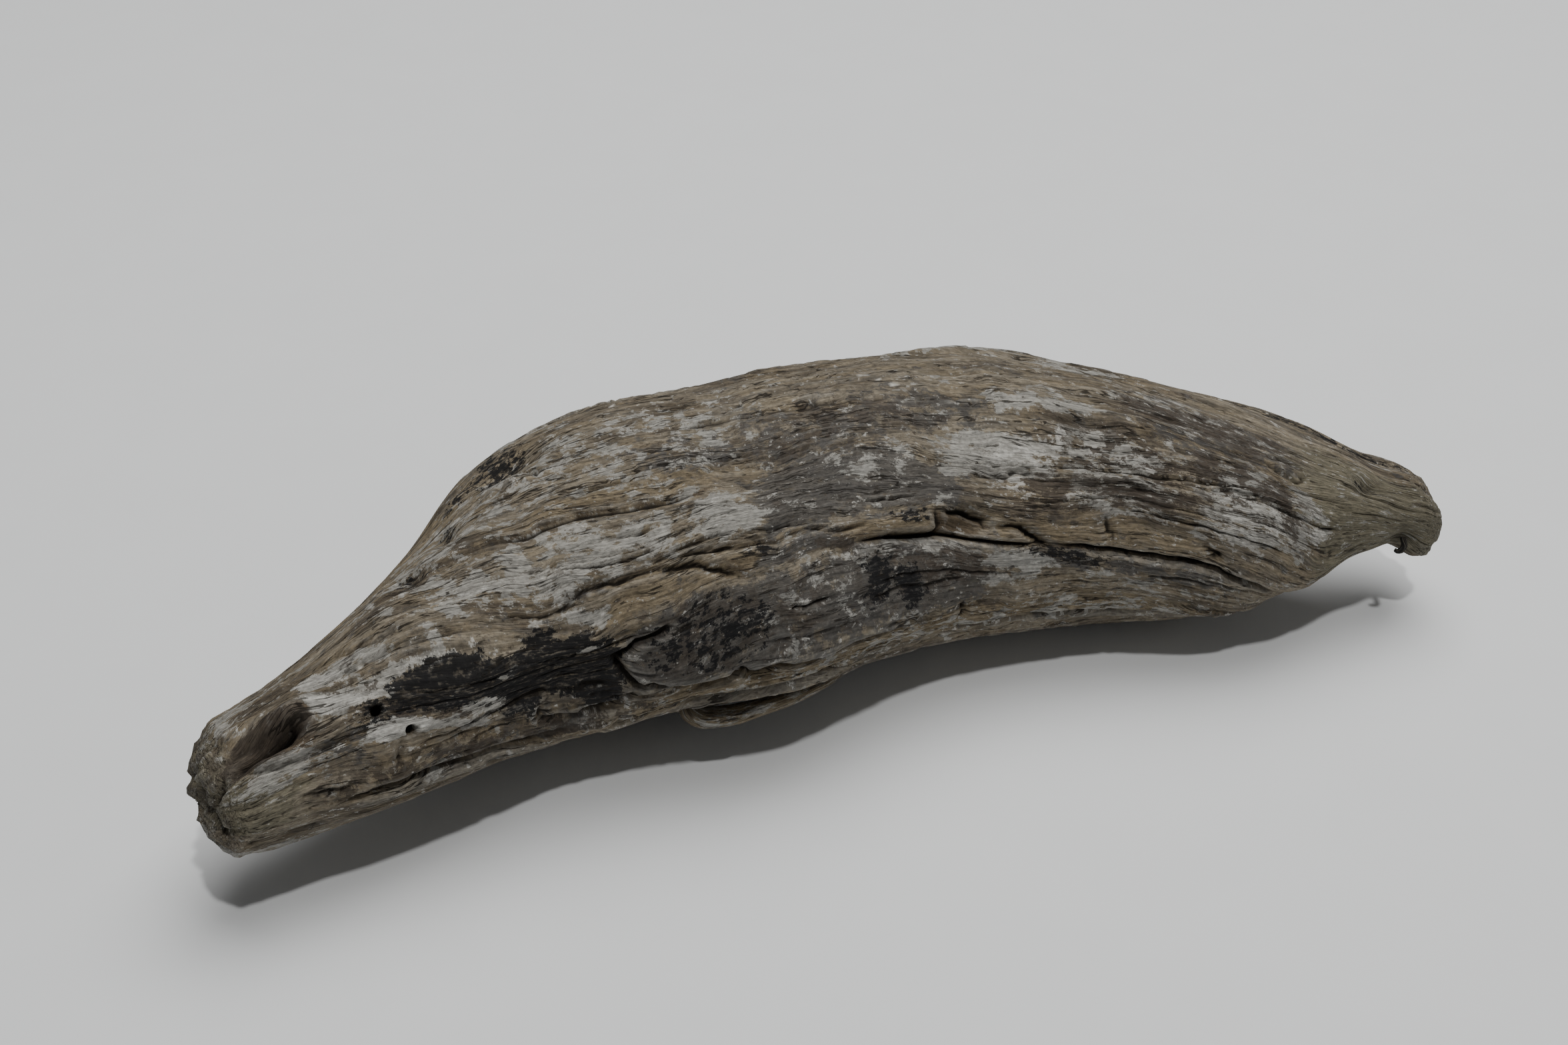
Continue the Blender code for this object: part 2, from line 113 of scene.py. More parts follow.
# Open cracks along those lines: line, from x, to x, depth, half width
CRACKS = (
    ("split", -16, 46, 5.0, 1.0),
    ("split", 36, 112, 5.4, 1.1),
    ("split", -170, -148, 5.0, 2.6),
    ("pocket", -74, -8, 2.4, 0.8),
    ("pocket", -168, -96, 2.2, 1.2),
    ("step", -106, -40, 2.4, 0.9),
    ("slab", -78, 8, 3.6, 0.9),
    ("ledge", -150, -88, 5.0, 1.4),
    ("ledge", -66, -14, 5.5, 1.7),
    ("ledge", 20, 92, 4.0, 1.2),
    ("ridge", 118, 148, 2.5, 1.6),
    ("back", -100, 24, 7.0, 1.6),
    ("wane", -20, 112, 5.0, 1.4),
    ("under", -132, -30, 6.0, 1.8),
    ("belly", -40, 92, 8.0, 2.0),
)
# Layers of wood that stand over their neighbour: line, from x, to x, height, how far they reach from it.
# Their edge is LIP_WIDTH wide, and their ends fade over LAYER_FADE.
LIP_WIDTH, LAYER_FADE = 1.2, 14
LAYERS = (
    ("step", -114, -28, 1.3, 14),
    ("slab", -80, 12, 1.6, 14),
    ("ledge", -152, -64, 2.2, -9),
    ("pocket", -60, 12, 0.9, -12),
    ("split", 50, 104, 1.1, -13),
    ("back", -92, 60, 2.4, 20),
    ("under", -60, 84, 2.2, -18),
    ("ridge", 0, 90, 1.0, -12),
)
# Swellings and hollows: x, place in the grain, half length, half breadth, height
LUMPS = (
    (-88, 122, 22, 18, 2.0),     # shoulder
    (-104, 96, 13, 10, -1.4),    # dip before the shoulder
    (-84, 106, 12, 4.5, -4.5),   # hollow along the shoulder
    (-84, 89, 6, 4.5, 2.6),      # knot
    (-160, 25, 11, 3.6, -4.0),   # hollow behind the blunt end
    (-150, 24, 5, 6, 3.4),       # knot at the end of that hollow
    (19, 34, 7, 4.2, -4.2),      # pocket where a flake broke out
    (-34, -49, 22, 6.5, -4.2),   # where the splinter came from
    (133, 104, 6, 3.0, -3.0),    # slot on the tip
    (142, 54, 5.5, 5, -3.0),     # hollow under the tip
    (-105, 84, 3.5, 3.0, -2.4),
    (-116, 68, 4, 2.5, -2.2),
    (60, 157, 26, 12, 3.5),
    (-20, 163, 22, 10, -4.0),
    (-125, 168, 24, 9, -3.5),
    (10, 210, 34, 14, 3.5),
    (110, 214, 22, 10, -3.0),
    (-35, 257, 30, 14, -4.5),
    (55, 302, 30, 12, -3.0),
)
# Cracks that leave the grain: depth, half width, path as x, place in the grain
GASHES = (
    # edge of the lifted slab
    (4.5, 1.5, ((-63, 13), (-70, 10), (-76, 5), (-75, 0), (-72, -5), (-65, -4))),
    # from the left down to the split
    (3.5, 1.5, ((-86, 46), (-78, 47), (-70, 44), (-60, 40), (-53, 36), (-48, 30), (-46, 25), (-43, 21))),
    # under the flake, then round the pocket beside it
    (4.5, 1.5, ((-1, 21), (6, 22), (13, 22))),
    (4.0, 1.5, ((29, 38), (35, 40), (36, 35), (38, 28), (40, 21))),
    (4.0, 1.6, ((17, 46), (21, 47), (26, 43), (26, 36))),
    # down the blunt end and below its hollow
    (4.5, 1.6, ((-171, 21), (-174.5, 6), (-174.8, -8), (-173.5, -24))),
    (3.0, 1.4, ((-168, 18), (-160, 10), (-150, 7), (-140, 8))),
    # on the back
    (3.0, 1.5, ((62, 177), (74, 175), (88, 180), (104, 186))),
    (3.0, 1.5, ((-70, 202), (-52, 208), (-30, 205))),
)
HOLES = ((-133.5, 16), (-126.5, 1))   # bored by beetles: x, place in the grain
HOLE_RADIUS, HOLE_DEPTH = 1.5, 7.0
HOLE_RINGS = (-136.0, -124.0)         # the mesh has twice as many rings between these x

# A splinter that has sprung from the lower front, and a curled fibre under the tip.
# Stations: x, place in the grain, height over the surface, half breadth, half thickness
SPLINTER = (
    (-56.5, -43, -1.4, 1.6, 1.4), (-55, -44, 1.2, 3.2, 2.2), (-51.5, -45.5, 2.6, 4.1, 2.6),
    (-46, -47, 2.5, 4.3, 2.6), (-40, -48.5, 1.5, 4.0, 2.4), (-32, -50, 0.1, 3.4, 2.1),
    (-24, -50.5, -0.6, 2.7, 1.7), (-15, -51, -1.2, 2.0, 1.3), (-8, -51, -3.0, 1.2, 1.0))
CURL = (
    (142, 50, -1.6, 0.95, 0.95), (142, 48, 0.6, 0.85, 0.85), (141.5, 45.5, 1.6, 0.8, 0.8),
    (140.6, 43, 1.9, 0.7, 0.7), (139.8, 41, 1.4, 0.5, 0.5))

# The wood lies on three worn places: x, y, half length, half breadth, how far the wood swells down there
FEET = ((68, -9, 34, 14, 8.5), (18, 40, 34, 15, 8.5), (-88, 4, 32, 17, 14.0))
SWELL_FROM, SWELL_FULL = 30, 14       # it swells below this height, and fully below that one
CLEARANCE = 1.4                       # of the rest over the ground
FLAT_FROM = 1 / 2.2                   # share of a foot's swelling from which there is no clearance

# The mesh: distance between rings, rings in each end's turn, columns between neighbouring grain lines,
# and distance of the rims beside each line
RING_STEP, END_RINGS = 1.22, 12
COLUMNS = (20, 40, 14, 36, 38, 46, 28, 20, 25, 27)
RIMS = (0.7, 1.8)
INNER_RINGS = slice(40, -40)          # clear of the rounded ends

# The fibres part round these: x, place in the grain, reach, how far they are pushed aside
KNOTS = (
    (-102, 12, 30, 0.42),
    (-84, 89, 9, 0.75),
    (-150, 24, 9, 0.6),
    (107, 88, 6, 0.7),
    (37, 73, 5, 0.5),
    (19, 34, 9, 0.4),
    (-116, 70, 6, 0.5),
    (60, 157, 16, 0.6),
    (-125, 168, 12, 0.5),
    (110, 214, 12, 0.6),
    (-35, 257, 16, 0.6),
)
# Narrow cracks that leave the grain: depth, half width, path as x, place in the grain
FINE_GASHES = (
    (1.4, 0.5, ((-55, 45), (-45, 44), (-37, 47), (-30, 49), (-20, 48))),
    (2.0, 0.6, ((-22, 45), (-18, 38), (-13, 36), (-8, 37))),
    (3.0, 0.9, ((13, 45), (14, 34), (13, 23))),
    (2.0, 0.8, ((57, 48), (58, 38), (58, 26))),
    (2.8, 1.2, ((-89, 90), (-87, 94), (-83, 95), (-79, 92), (-79, 88))),
    (1.2, 0.6, ((-44, 74), (-40, 76), (-37, 78), (-31, 80))),
    (1.6, 0.6, ((-76, 74), (-68, 78), (-57, 77))),
    (3.2, 1.0, ((-61, -7), (-52, -6), (-46, -2), (-43, -8), (-37, -6))),
    (1.6, 0.8, ((-150, 56), (-140, 53), (-130, 52), (-119, 50))),
    (1.6, 0.6, ((-154, -12), (-148, -14), (-140, -17))),
    (1.8, 0.6, ((103, 89), (105, 86), (109, 85), (112, 88))),
    (1.4, 0.5, ((104, 92), (108, 93), (112, 91))),
    (1.2, 0.7, ((-129, -2), (-130, -9), (-131, -16))),
    (3.0, 1.0, ((-95, -10), (-94, -15), (-85, -17), (-77, -15), (-72, -11))),
    (2.6, 1.0, ((82, 33), (84, 36), (80, 40))),
    (2.0, 0.8, ((27, 63), (34, 63), (42, 65))),
    (2.4, 0.8, ((18, -2), (19, -8), (18, -14))),
    (3.0, 1.2, ((100, 245), (122, 250), (140, 246))),
)
CHECKS = 380                                   # hairline cracks along the grain
PITS = ((320, -172, 152), (260, -177, -150))   # how many, from x, to x
FIBRES = ((0.18, 60, 4.2), (0.25, 30, 2.1), (0.30, 14, 1.1))   # height, length, width
FLAKES = ((0.30, 36, 9), (0.30, 20, 5), (0.34, 9, 2.6))
# Torn and rough inside: x, place in the grain, half length, half breadth
HOLLOW, POCKET = (-157, 22, 9, 12), (21, 33, 11, 9)
# The solid's relief is coarse: here the cracks and gashes are narrower, the layers and furrows lower,
# and cracks that are shallower than CRACK_DEPTH are shallower still
CRACK_WIDTH, GASH_WIDTH, CRACK_DEPTH = 0.55, 0.6, 4.5
LAYER_RISE, FURROW_DEPTH = 0.6, 1.15

NOISE_CELLS = 32
LATTICE = np.random.default_rng(11).uniform(-1.0, 1.0, (NOISE_CELLS,) * 3)


def noise(x, y, z):
    """Smooth noise between -1 and 1, on a repeating lattice of seeded values."""
    x, y, z = np.broadcast_arrays(x, y, z)
    corner = [np.floor(c).astype(int) for c in (x, y, z)]
    after = [t * t * (3.0 - 2.0 * t) for t in (x - corner[0], y - corner[1], z - corner[2])]
    total = np.zeros(x.shape)
    for steps in np.ndindex(2, 2, 2):
        weight = math.prod(t if step else 1 - t for t, step in zip(after, steps))
        total += weight * LATTICE[tuple((c + step) % NOISE_CELLS for c, step in zip(corner, steps))]
    return total


def noise_at(points, *cells):
    """Noise at points, with cells of so many mm along x, y and z."""
    return noise(*(points[..., k] / cell for k, cell in enumerate(cells)))


def ease(low, high, value):
    """0 at low, 1 at high, and a smooth step between."""
    t = np.clip((value - low) / (high - low), 0.0, 1.0)
    return t * t * (3 - 2 * t)


def between(x, low, high, soft):
    """1 from low to high, easing to 0 there."""
    return ease(0.0, soft, np.minimum(x - low, high - x))


def bell(*ratios):
    """1 where every ratio is 0, fading to 0 past 1."""
    return np.exp(-sum(ratio ** 2 for ratio in ratios))


def wrapped(gap, girth):
    """A distance round the wood, by the shorter way."""
    return (gap + girth / 2) % girth - girth / 2


def in_turn(grain):
    """Places in the grain, brought into the turn that starts at GRAIN_START."""
    return (np.asarray(grain, float) - GRAIN_START) % 360 + GRAIN_START


def curve_through(points, at):
    """The smooth curve through (x, value) points, read at each x."""
    xs, values = np.array(points, float).T
    slope = np.gradient(values, xs)
    at = np.clip(at, xs[0], xs[-1])
    i = np.clip(np.searchsorted(xs, at, side="right") - 1, 0, len(xs) - 2)
    step = xs[i + 1] - xs[i]
    t = (at - xs[i]) / step
    return ((2 * t**3 - 3 * t**2 + 1) * values[i] + (t**3 - 2 * t**2 + t) * step * slope[i]
            + (3 * t**2 - 2 * t**3) * values[i + 1] + (t**3 - t**2) * step * slope[i + 1])


def end_fill(x):
    """How much of its section the wood has at x: all of it, but for the rounded ends."""
    to_end = np.minimum((x - FIRST) / BLUNT_ROUNDING, (LAST - x) / TIP_ROUNDING)
    gap = 1.0 - np.clip(to_end, 0.0, 1.0)
    return (1.0 - gap ** END_SQUARENESS) ** (1 / END_SQUARENESS)


def end_part(x):
    """1 at the ends of the wood, fading inward, for each ring."""
    return np.exp(-np.minimum(x - FIRST, LAST - x) / END_REACH)[:, None]


def half_size(x):
    """Mean of the half width and the half height of each ring."""
    return curve_through([(s[0], (s[3] + s[4]) / 2) for s in SECTIONS], x)[:, None]


def body(x, angle):
    """The smooth wood's surface in mm, at x and an angle in degrees."""
    y0, z0, width, height = (curve_through([(s[0], s[k]) for s in SECTIONS], x) for k in range(1, 5))
    a = np.radians(angle)
    fill = end_fill(x)
    across = -fill * np.sign(np.cos(a)) * np.abs(np.cos(a)) ** (2 / SQUARENESS)
    up = fill * np.sign(np.sin(a)) * np.abs(np.sin(a)) ** (2 / SQUARENESS)
    lean = BLUNT_SLANT * width * (1 - across) / 2 * np.exp(-(x - FIRST) / SLANT_REACH)
    bent = np.clip((BEND_FROM - x) / (BEND_FROM - FIRST), 0, 1) ** BEND_POWER
    return np.stack([x + lean + BEND[0] * bent, y0 + width * across + BEND[1] * bent,
                     z0 + height * up + BEND[2] * bent], -1)


def ring_places():
    """The x of each ring: even, close together where the ends turn in, and closer at the beetle holes."""
    turn = np.linspace(0.0, math.pi / 2, END_RINGS + 2)[1:-1]
    turn = 1.0 - np.cos(turn) ** (2 / END_SQUARENESS)
    low, high = FIRST + BLUNT_ROUNDING, LAST - TIP_ROUNDING
    even = np.linspace(low, high, round((high - low) / RING_STEP) + 1)
    at_holes = np.arange(*HOLE_RINGS, RING_STEP) + RING_STEP / 2
    return np.sort([*(FIRST + BLUNT_ROUNDING * turn), *even, *(LAST - TIP_ROUNDING * turn), *at_holes])


def grain_places():
    """The place in the grain of each column: on every line, at the rims beside it, and evenly between."""
    values = [value for value, _ in GRAIN.values()]
    out = []
    for low, high, count in zip(values, values[1:] + [values[0] + 360], COLUMNS):
        inner = np.linspace(low + RIMS[-1], high - RIMS[-1], count)[1:-1]
        out += [low, *(low + r for r in RIMS), *inner, *(high - r for r in RIMS[::-1])]
    return np.array(out)


def grain_paths(x):
    """The grain lines' places in the grain and, for each x, their angles."""
    values = np.array([value for value, _ in GRAIN.values()], float)
    paths = [curve_through(path, x) + 1.2 * noise(x / 8, 5.5 * k, 0.5) + 0.6 * noise(x / 3, 5.5 * k, 7.5)
             for k, (_, path) in enumerate(GRAIN.values())]
    return np.append(values, values[0] + 360), np.vstack([*paths, paths[0] + 360]).T


def angle_of(x, grain):
    """Angle in degrees of each place in the grain, on each ring."""
    values, paths = grain_paths(x)
    return np.array([np.interp(grain, values, ring) for ring in paths])


def place(x, grain):
    """Points of the smooth surface, from pairs of x and place in the grain."""
    x = np.asarray(x, float)
    values, paths = grain_paths(x)
    return body(x, np.array([np.interp(g, values, ring) for g, ring in zip(in_turn(grain), paths)]))


def path_distance(points, path):
    """Distance of each point to a path on the smooth surface, and how far along the path it is, 0 to 1."""
    along = np.linspace(0, len(path) - 1, 60)
    x, grain = (np.interp(along, np.arange(len(path)), c) for c in np.array(path, float).T)
    line = place(x, grain + 1.2 * noise(x / 2.5, grain / 4.0, 3.3))
    gaps = np.linalg.norm(points[:, None] - line[None], axis=2)
    nearest = gaps.argmin(axis=1)
    return gaps.min(axis=1), along[nearest] / along[-1]


def away(smooth, x, grain):
    """Distance of each point to one place on the smooth surface."""
    return np.linalg.norm(smooth - place([x], [grain]), axis=2)


def column_steps(smooth):
    """Distance from each column to the next, on each ring."""
    return np.linalg.norm(np.roll(smooth, -1, 1) - smooth, axis=2)


def spans(smooth, grain):
    """Distance in mm, round each ring, from each grain line's column."""
    steps = column_steps(smooth)
    arc = np.cumsum(steps, axis=1) - steps
    girth = steps.sum(axis=1)[:, None]
    return {name: wrapped(arc - arc[:, [int(np.abs(grain - value).argmin())]], girth)
            for name, (value, _) in GRAIN.items()}


def crowding(grain, smooth):
    """How wide apart the grain runs, beside the straight trunk: less than 1 where it crowds together."""
    wide = np.radians((np.roll(grain, -1) - grain) % 360) * GRAIN_RADIUS
    apart = np.minimum(column_steps(smooth) / wide, 1.0)
    return sum(np.roll(apart, k, 1) for k in range(-2, 3)) / 5


def swells(along, grain, smooth):
    """Height of the broad swells and of the ridges between furrows."""
    turn = np.radians(grain)[None, :]
    side, top = GRAIN_RADIUS * np.cos(turn), GRAIN_RADIUS * np.sin(turn)
    broad = 1.5 * noise(along / 60, side / 22, top / 22) + 1.0 * noise(along / 45 + 9, side / 11, top / 11)
    ridges = np.sqrt(np.abs(noise(along / 70 + 3, side / 6 + 7, top / 6))) - 0.6
    slim = np.minimum(half_size(along[:, 0]) / GRAIN_RADIUS, 1)
    return slim * broad + FURROW_DEPTH * crowding(grain, smooth) * ridges


def layers(along, apart):
    """Height of the layers that stand over their neighbour."""
    out = 0.0
    for name, low, high, rise, reach in LAYERS:
        gap = apart[name] * math.copysign(1, reach)
        slope = bell(np.clip(gap, 0, None) / (math.sqrt(2) * reach))
        lip = np.clip(gap / LIP_WIDTH + 0.5, 0, 1) * slope
        out = out + LAYER_RISE * rise * lip * between(along, low, high, LAYER_FADE)
    return out


def lumps(smooth):
    """Height of the swellings and hollows."""
    out = 0.0
    for x0, centre, length, breadth, rise in LUMPS:
        off = smooth - place([x0], [centre])
        out = out + rise * bell(off[..., 0] / length, off[..., 1] / breadth, off[..., 2] / breadth)
    return out


def eased_depth(depth):
    """Depth of one of the solid's cracks on this mesh, where shallow ones are shallower still."""
    return depth * min(1.0, depth / CRACK_DEPTH)


def cracks(along, apart):
    """Depth of the open cracks along the grain lines."""
    out = 0.0
    for name, low, high, depth, half in CRACKS:
        opened = between(along, low, high, 0.3 * (high - low))
        profile = np.exp(-(np.abs(apart[name]) / (CRACK_WIDTH * half)) ** 1.5)
        out = out + eased_depth(depth) * profile * opened
    return out


def gash(smooth, half, path):
    """Which points are near a gash, and how much of its depth each has."""
    ends = place(*np.array(path, float).T)
    near = ((smooth > ends.min(axis=0) - 4) & (smooth < ends.max(axis=0) + 4)).all(axis=2)
    gap, done = path_distance(smooth[near], path)
    return near, bell(gap / half) * np.sin(math.pi * (0.08 + 0.84 * done)) ** 0.5


def relief(x, grain, smooth):
    """Height of the solid's relief over the smooth wood."""
    along = np.broadcast_to(x[:, None], smooth.shape[:2])
    apart = spans(smooth, grain)
    height = swells(along, grain, smooth) + layers(along, apart) + lumps(smooth) - cracks(along, apart)
    for depth, half, path in GASHES:
        near, share = gash(smooth, GASH_WIDTH * half, path)
        height[near] -= eased_depth(depth) * share
    return height * (1 - END_CALM * end_part(x)) + END_ROUGHNESS * end_part(x) * noise_at(smooth, 5, 5, 5)


def normals(grid):
    """Outward unit normals of a grid of rings."""
    normal = np.cross(np.roll(grid, -1, 1) - np.roll(grid, 1, 1), np.gradient(grid, axis=0))
    normal *= np.sign(((grid - grid.mean(axis=1, keepdims=True)) * normal).sum(axis=2)).mean()
    return normal / np.linalg.norm(normal, axis=2, keepdims=True)


def settle(points):
    """Lowers the three feet, wears them flat at z = 0 and keeps the rest clear of the ground."""
    out = points.copy()
    low = ease(SWELL_FROM, SWELL_FULL, out[..., 2])
    near = np.zeros(low.shape)
    for x, y, length, breadth, drop in FEET:
        swell = bell((points[..., 0] - x) / length, (points[..., 1] - y) / breadth)
        out[..., 2] -= drop * swell * low
        near = np.maximum(near, swell)
    out[..., 2] = np.maximum(out[..., 2], CLEARANCE * (1 - np.clip(near / FLAT_FROM, 0, 1)))
    return out


def square_to(a, b):
    """Unit vectors square to both."""
    out = np.cross(a, b)
    return out / np.linalg.norm(out, axis=-1, keepdims=True)


def strand(stations, sides):
    """Rings of a strand of wood on the surface, from its stations."""
    x, grain, lift, broad, thick = np.array(stations, float).T
    along = place(x + 0.5, grain) - place(x - 0.5, grain)
    out = square_to(along, place(x, grain + 0.5) - place(x, grain - 0.5))
    centre = place(x, grain) + out * lift[:, None]
    run = np.gradient(centre, axis=0)
    side = square_to(out, run)
    lid = square_to(run, side)
    turn = np.linspace(0, 2 * math.pi, sides, endpoint=False)[None, :, None]
    return (centre[:, None] + side[:, None] * broad[:, None, None] * np.cos(turn)
            + lid[:, None] * thick[:, None, None] * np.sin(turn))


def blur(field, rings, columns):
    """Mean of a grid over its neighbours, so many rings and columns each way."""
    total = np.pad(field, ((rings + 1, rings), (0, 0)), mode="edge").cumsum(axis=0)
    field = (total[2 * rings + 1:] - total[:-2 * rings - 1]) / (2 * rings + 1)
    total = np.pad(field, ((0, 0), (columns + 1, columns)), mode="wrap").cumsum(axis=1)
    return (total[:, 2 * columns + 1:] - total[:, :-2 * columns - 1]) / (2 * columns + 1)


def round_place(smooth):
    """Mean distance in mm round the wood to each column, and all the way round, away from the ends."""
    steps = column_steps(smooth)[INNER_RINGS].mean(axis=0)
    return np.cumsum(steps) - steps, steps.sum()


def around(along, arc, girth):
    """Sideways and upward place on a straight round trunk, drawn together where the ends round off."""
    radius, turn = girth / (2 * math.pi) * end_fill(along), 2 * math.pi * arc / girth
    return radius * np.cos(turn), radius * np.sin(turn)


def flow(along, arc, girth, grain):
    """Fibre coordinates: mm round the wood, pushed aside where fibres wave and part round knots."""
    side, top = around(along, arc, girth)
    run = arc + 3.0 * noise(along / 34, side / 20, top / 20) + 1.1 * noise(along / 12, side / 9, top / 9)
    turn = np.append(grain, grain[0] + 360), np.append(arc[0], girth)
    for x0, centre, reach, push in KNOTS:
        gap = wrapped(arc - np.interp(in_turn(centre), *turn), girth)
        run = run - push * gap * bell((along - x0) / reach, gap / (0.8 * reach))
    return run


def fibres(along, side, top):
    """Height of the fibres that stand out where the softer wood has worn away."""
    worn = 0.55 + 0.45 * noise(along / 40 + 5, side / 14, top / 14)
    out = 0.0
    for number, (height, length, width) in enumerate(FIBRES, 1):
        groove = noise(along / length + 31 * number, side / width + 7 * number, top / width)
        out = out + height * (np.sqrt(np.abs(groove)) - 0.6)
    return out * worn


def flakes(along, side, top):
    """Height of thin layers that have flaked off and left a low ragged step."""
    out = 0.0
    for number, (height, length, width) in enumerate(FLAKES, 1):
        edge = (noise(along / length + 17 * number, side / width, top / width + 3 * number)
                + 0.35 * noise(along / 5 + number, side / 1.6, top / 1.6))
        out = out + height * (ease(-0.03, 0.05, edge) - 0.5)
    return out


def grown(x, along, side, run, girth, crowd):
    """Height of the fibres and flakes, which is less where the wood is slim and at its ends."""
    size = np.clip(half_size(x) / 34, 0.4, 1) * (1 - END_CALM * end_part(x)) * crowd ** 0.5
    below = ease(4, -8, side) + ease(322, 332, side)
    fibre = (along, *around(along, run, girth))
    return size * (fibres(*fibre) + (1 + 0.9 * below) * flakes(*fibre))


def spot(along, side, x0, centre, length, breadth):
    """1 at a place on the surface, fading to 0 round it."""
    return bell((along - x0) / length, (side - centre) / breadth)


def torn(x, smooth, along, side, run):
    """Height of the rough wood in the hollow, in the pocket and at the ends."""
    hollow, pocket = spot(along, side, *HOLLOW), spot(along, side, *POCKET)
    out = (1.2 * pocket + 0.9 * hollow) * noise(along / 24, run / 1.5, 0.5)
    for cell, height in ((4.0, 2.2), (1.7, 1.6)):
        out = out + height * hollow * noise_at(smooth, 2 * cell, cell, cell)
    rough = 0.75 * end_part(x) + 0.25 * np.exp(-(x - FIRST) / 12.0)[:, None]
    for cell, height in ((4.5, 1.2), (2.4, 1.2), (1.3, 0.6)):
        out = out + height * rough * noise_at(smooth, cell, cell, cell)
    return out


def checks(x, arc, girth, seed):
    """Depth of hairline cracks that run with the grain."""
    random = np.random.default_rng(seed)
    out = np.zeros(arc.shape)
    for _ in range(CHECKS):
        low = random.uniform(-172, 150)
        high = low + random.uniform(7, 20) * random.uniform(0.8, 3.0)
        centre, drift = random.uniform(0, girth), random.uniform(-0.05, 0.05)
        depth, half, phase = random.uniform(0.6, 1.8), random.uniform(0.22, 0.42), random.uniform(0, 30)
        rings = slice(*np.searchsorted(x, (low, high)))
        if rings.stop - rings.start < 4:
            continue
        here = x[rings, None]
        wander = 0.7 * noise(here / 7, phase, 0.5) + 0.35 * noise(here / 2.2, phase, 9.5)
        gap = wrapped(arc[rings] - centre - drift * (here - low) - wander, girth)
        width = half * np.sqrt(np.clip(np.sin(math.pi * (here - low) / (high - low)), 0, 1))
        out[rings] = np.maximum(out[rings], depth * bell(gap / np.maximum(width, 0.12)))
    return out


def pits(x, arc, girth, seed):
    """Depth of small worn pits, longer along the grain."""
    random = np.random.default_rng(seed)
    out = np.zeros(arc.shape)
    for number, low, high in PITS:
        for _ in range(number):
            at, centre = random.uniform(low, high), random.uniform(0, girth)
            size = 0.45 + 0.9 * random.uniform(0, 1) ** 2
            length, depth = size * random.uniform(1.3, 3.5), size * random.uniform(0.5, 1.1)
            rings = slice(*np.searchsorted(x, (at - 3 * length, at + 3 * length)))
            gap = wrapped(arc[rings] - centre, girth)
            out[rings] = np.maximum(out[rings], depth * bell((x[rings, None] - at) / length, gap / size))
    return out


def holes(smooth):
    """Depth of the beetle holes."""
    return sum(HOLE_DEPTH * ease(-0.2, 0.8, HOLE_RADIUS - 0.1 - away(smooth, *hole)) for hole in HOLES)


def fine_gashes(smooth):
    """Depth of the narrow cracks that leave the grain."""
    out = np.zeros(smooth.shape[:2])
    for depth, half, path in FINE_GASHES:
        near, share = gash(smooth, half, path)
        out[near] = np.maximum(out[near], depth * share)
    return out


def worn_surface():
    """The worn surface in mm, a grid of rings, with what the paint needs to know of each point."""
    x, grain = ring_places(), grain_places()
    smooth = body(x[:, None], angle_of(x, grain))
    arc, girth = round_place(smooth)
    along, arc = np.broadcast_arrays(x[:, None], arc[None, :])
    run = flow(along, arc, girth, grain)
    side = in_turn(grain) + 0 * along
    crowd = crowding(grain, smooth)
    height = (relief(x, grain, smooth) + grown(x, along, side, run, girth, crowd)
              + torn(x, smooth, along, side, run) - crowd * checks(x, run, girth, 5)
              - pits(x, arc, girth, 8) - fine_gashes(smooth) - holes(smooth))
    # hollow and deep: how far each point lies below its surroundings, for the painted shade and highlight
    return {"grid": settle(smooth + height[..., None] * normals(smooth)), "smooth": smooth,
            "along": along, "side": side, "fibre": np.stack([along, *around(along, run, girth)], -1),
            "hollow": blur(height, 2, 3) - height, "deep": blur(height, 7, 16) - height}


# Patches of colour: strength, how soft the edge is in mm, outline as x and place in the grain
PATCHES = {}
# Burnt black, and painted shade as dark spots in small hollows
PATCHES["char_and_shade"] = (
    (1.15, 3.0, ((-129, 20), (-130, 26), (-127, 31), (-122, 33), (-114, 36), (-111, 33), (-107, 33),
        (-106, 28), (-102, 26), (-99, 27), (-97, 34), (-93, 40), (-89, 37), (-90, 28), (-87, 25), (-81, 26),
        (-81, 20), (-76, 15), (-74, 8), (-75, 0), (-73, -5), (-77, -12), (-82, -14), (-86, -8), (-92, -6),
        (-98, -12), (-103, -8), (-106, -1), (-109, 5), (-116, 5), (-121, 11), (-128, 15))),
    (0.55, 2.5, ((-140, 10), (-137, 20), (-127, 24), (-119, 20), (-117, 8), (-127, 10))),
    (0.5, 2.5, ((-116, 5), (-112, 8), (-96, 2), (-92, -6), (-104, -6))),
    (0.7, 2.0, ((-37, 45), (-39, 38), (-36, 33), (-33, 38))),
    (0.62, 2.0, ((34, 19), (36, 16), (50, 10), (58, 12), (56, 18))),
    (0.8, 4.0, ((-54, 3), (-50, 12), (-42, 14), (-38, 9), (-40, 5), (-47, 4))),
    (0.56, 5.0, ((-68, 4), (-66, 14), (-50, 17), (-38, 12), (-40, 2), (-56, 1))),
    (0.75, 3.0, ((-12, 4), (-12, 13), (-7, 17), (-3, 14), (-4, 5), (-8, 3))),
    (0.75, 2.0, ((-4, 8), (-2, 12), (4, 13), (7, 4), (1, 1))),
    (0.6, 1.5, ((-41, 33), (-41, 41), (-38, 42), (-37, 34))),
    (0.6, 2.0, ((1, 37), (0, 46), (10, 46), (11, 38), (6, 36))),
    # The next four darken small hollows on and beside the shoulder and on the tip: painted shade
    (0.6, 2.0, ((-104, 104), (-90, 100), (-78, 108), (-76, 124), (-84, 128), (-90, 116))),
    (0.6, 2.0, ((-120, 68), (-118, 73), (-113, 73), (-113, 68))),
    (0.5, 2.0, ((-106, 82), (-106, 92), (-102, 94), (-101, 83))),
    (0.55, 3.0, ((128, 98), (128, 107), (136, 108), (137, 100))),
)
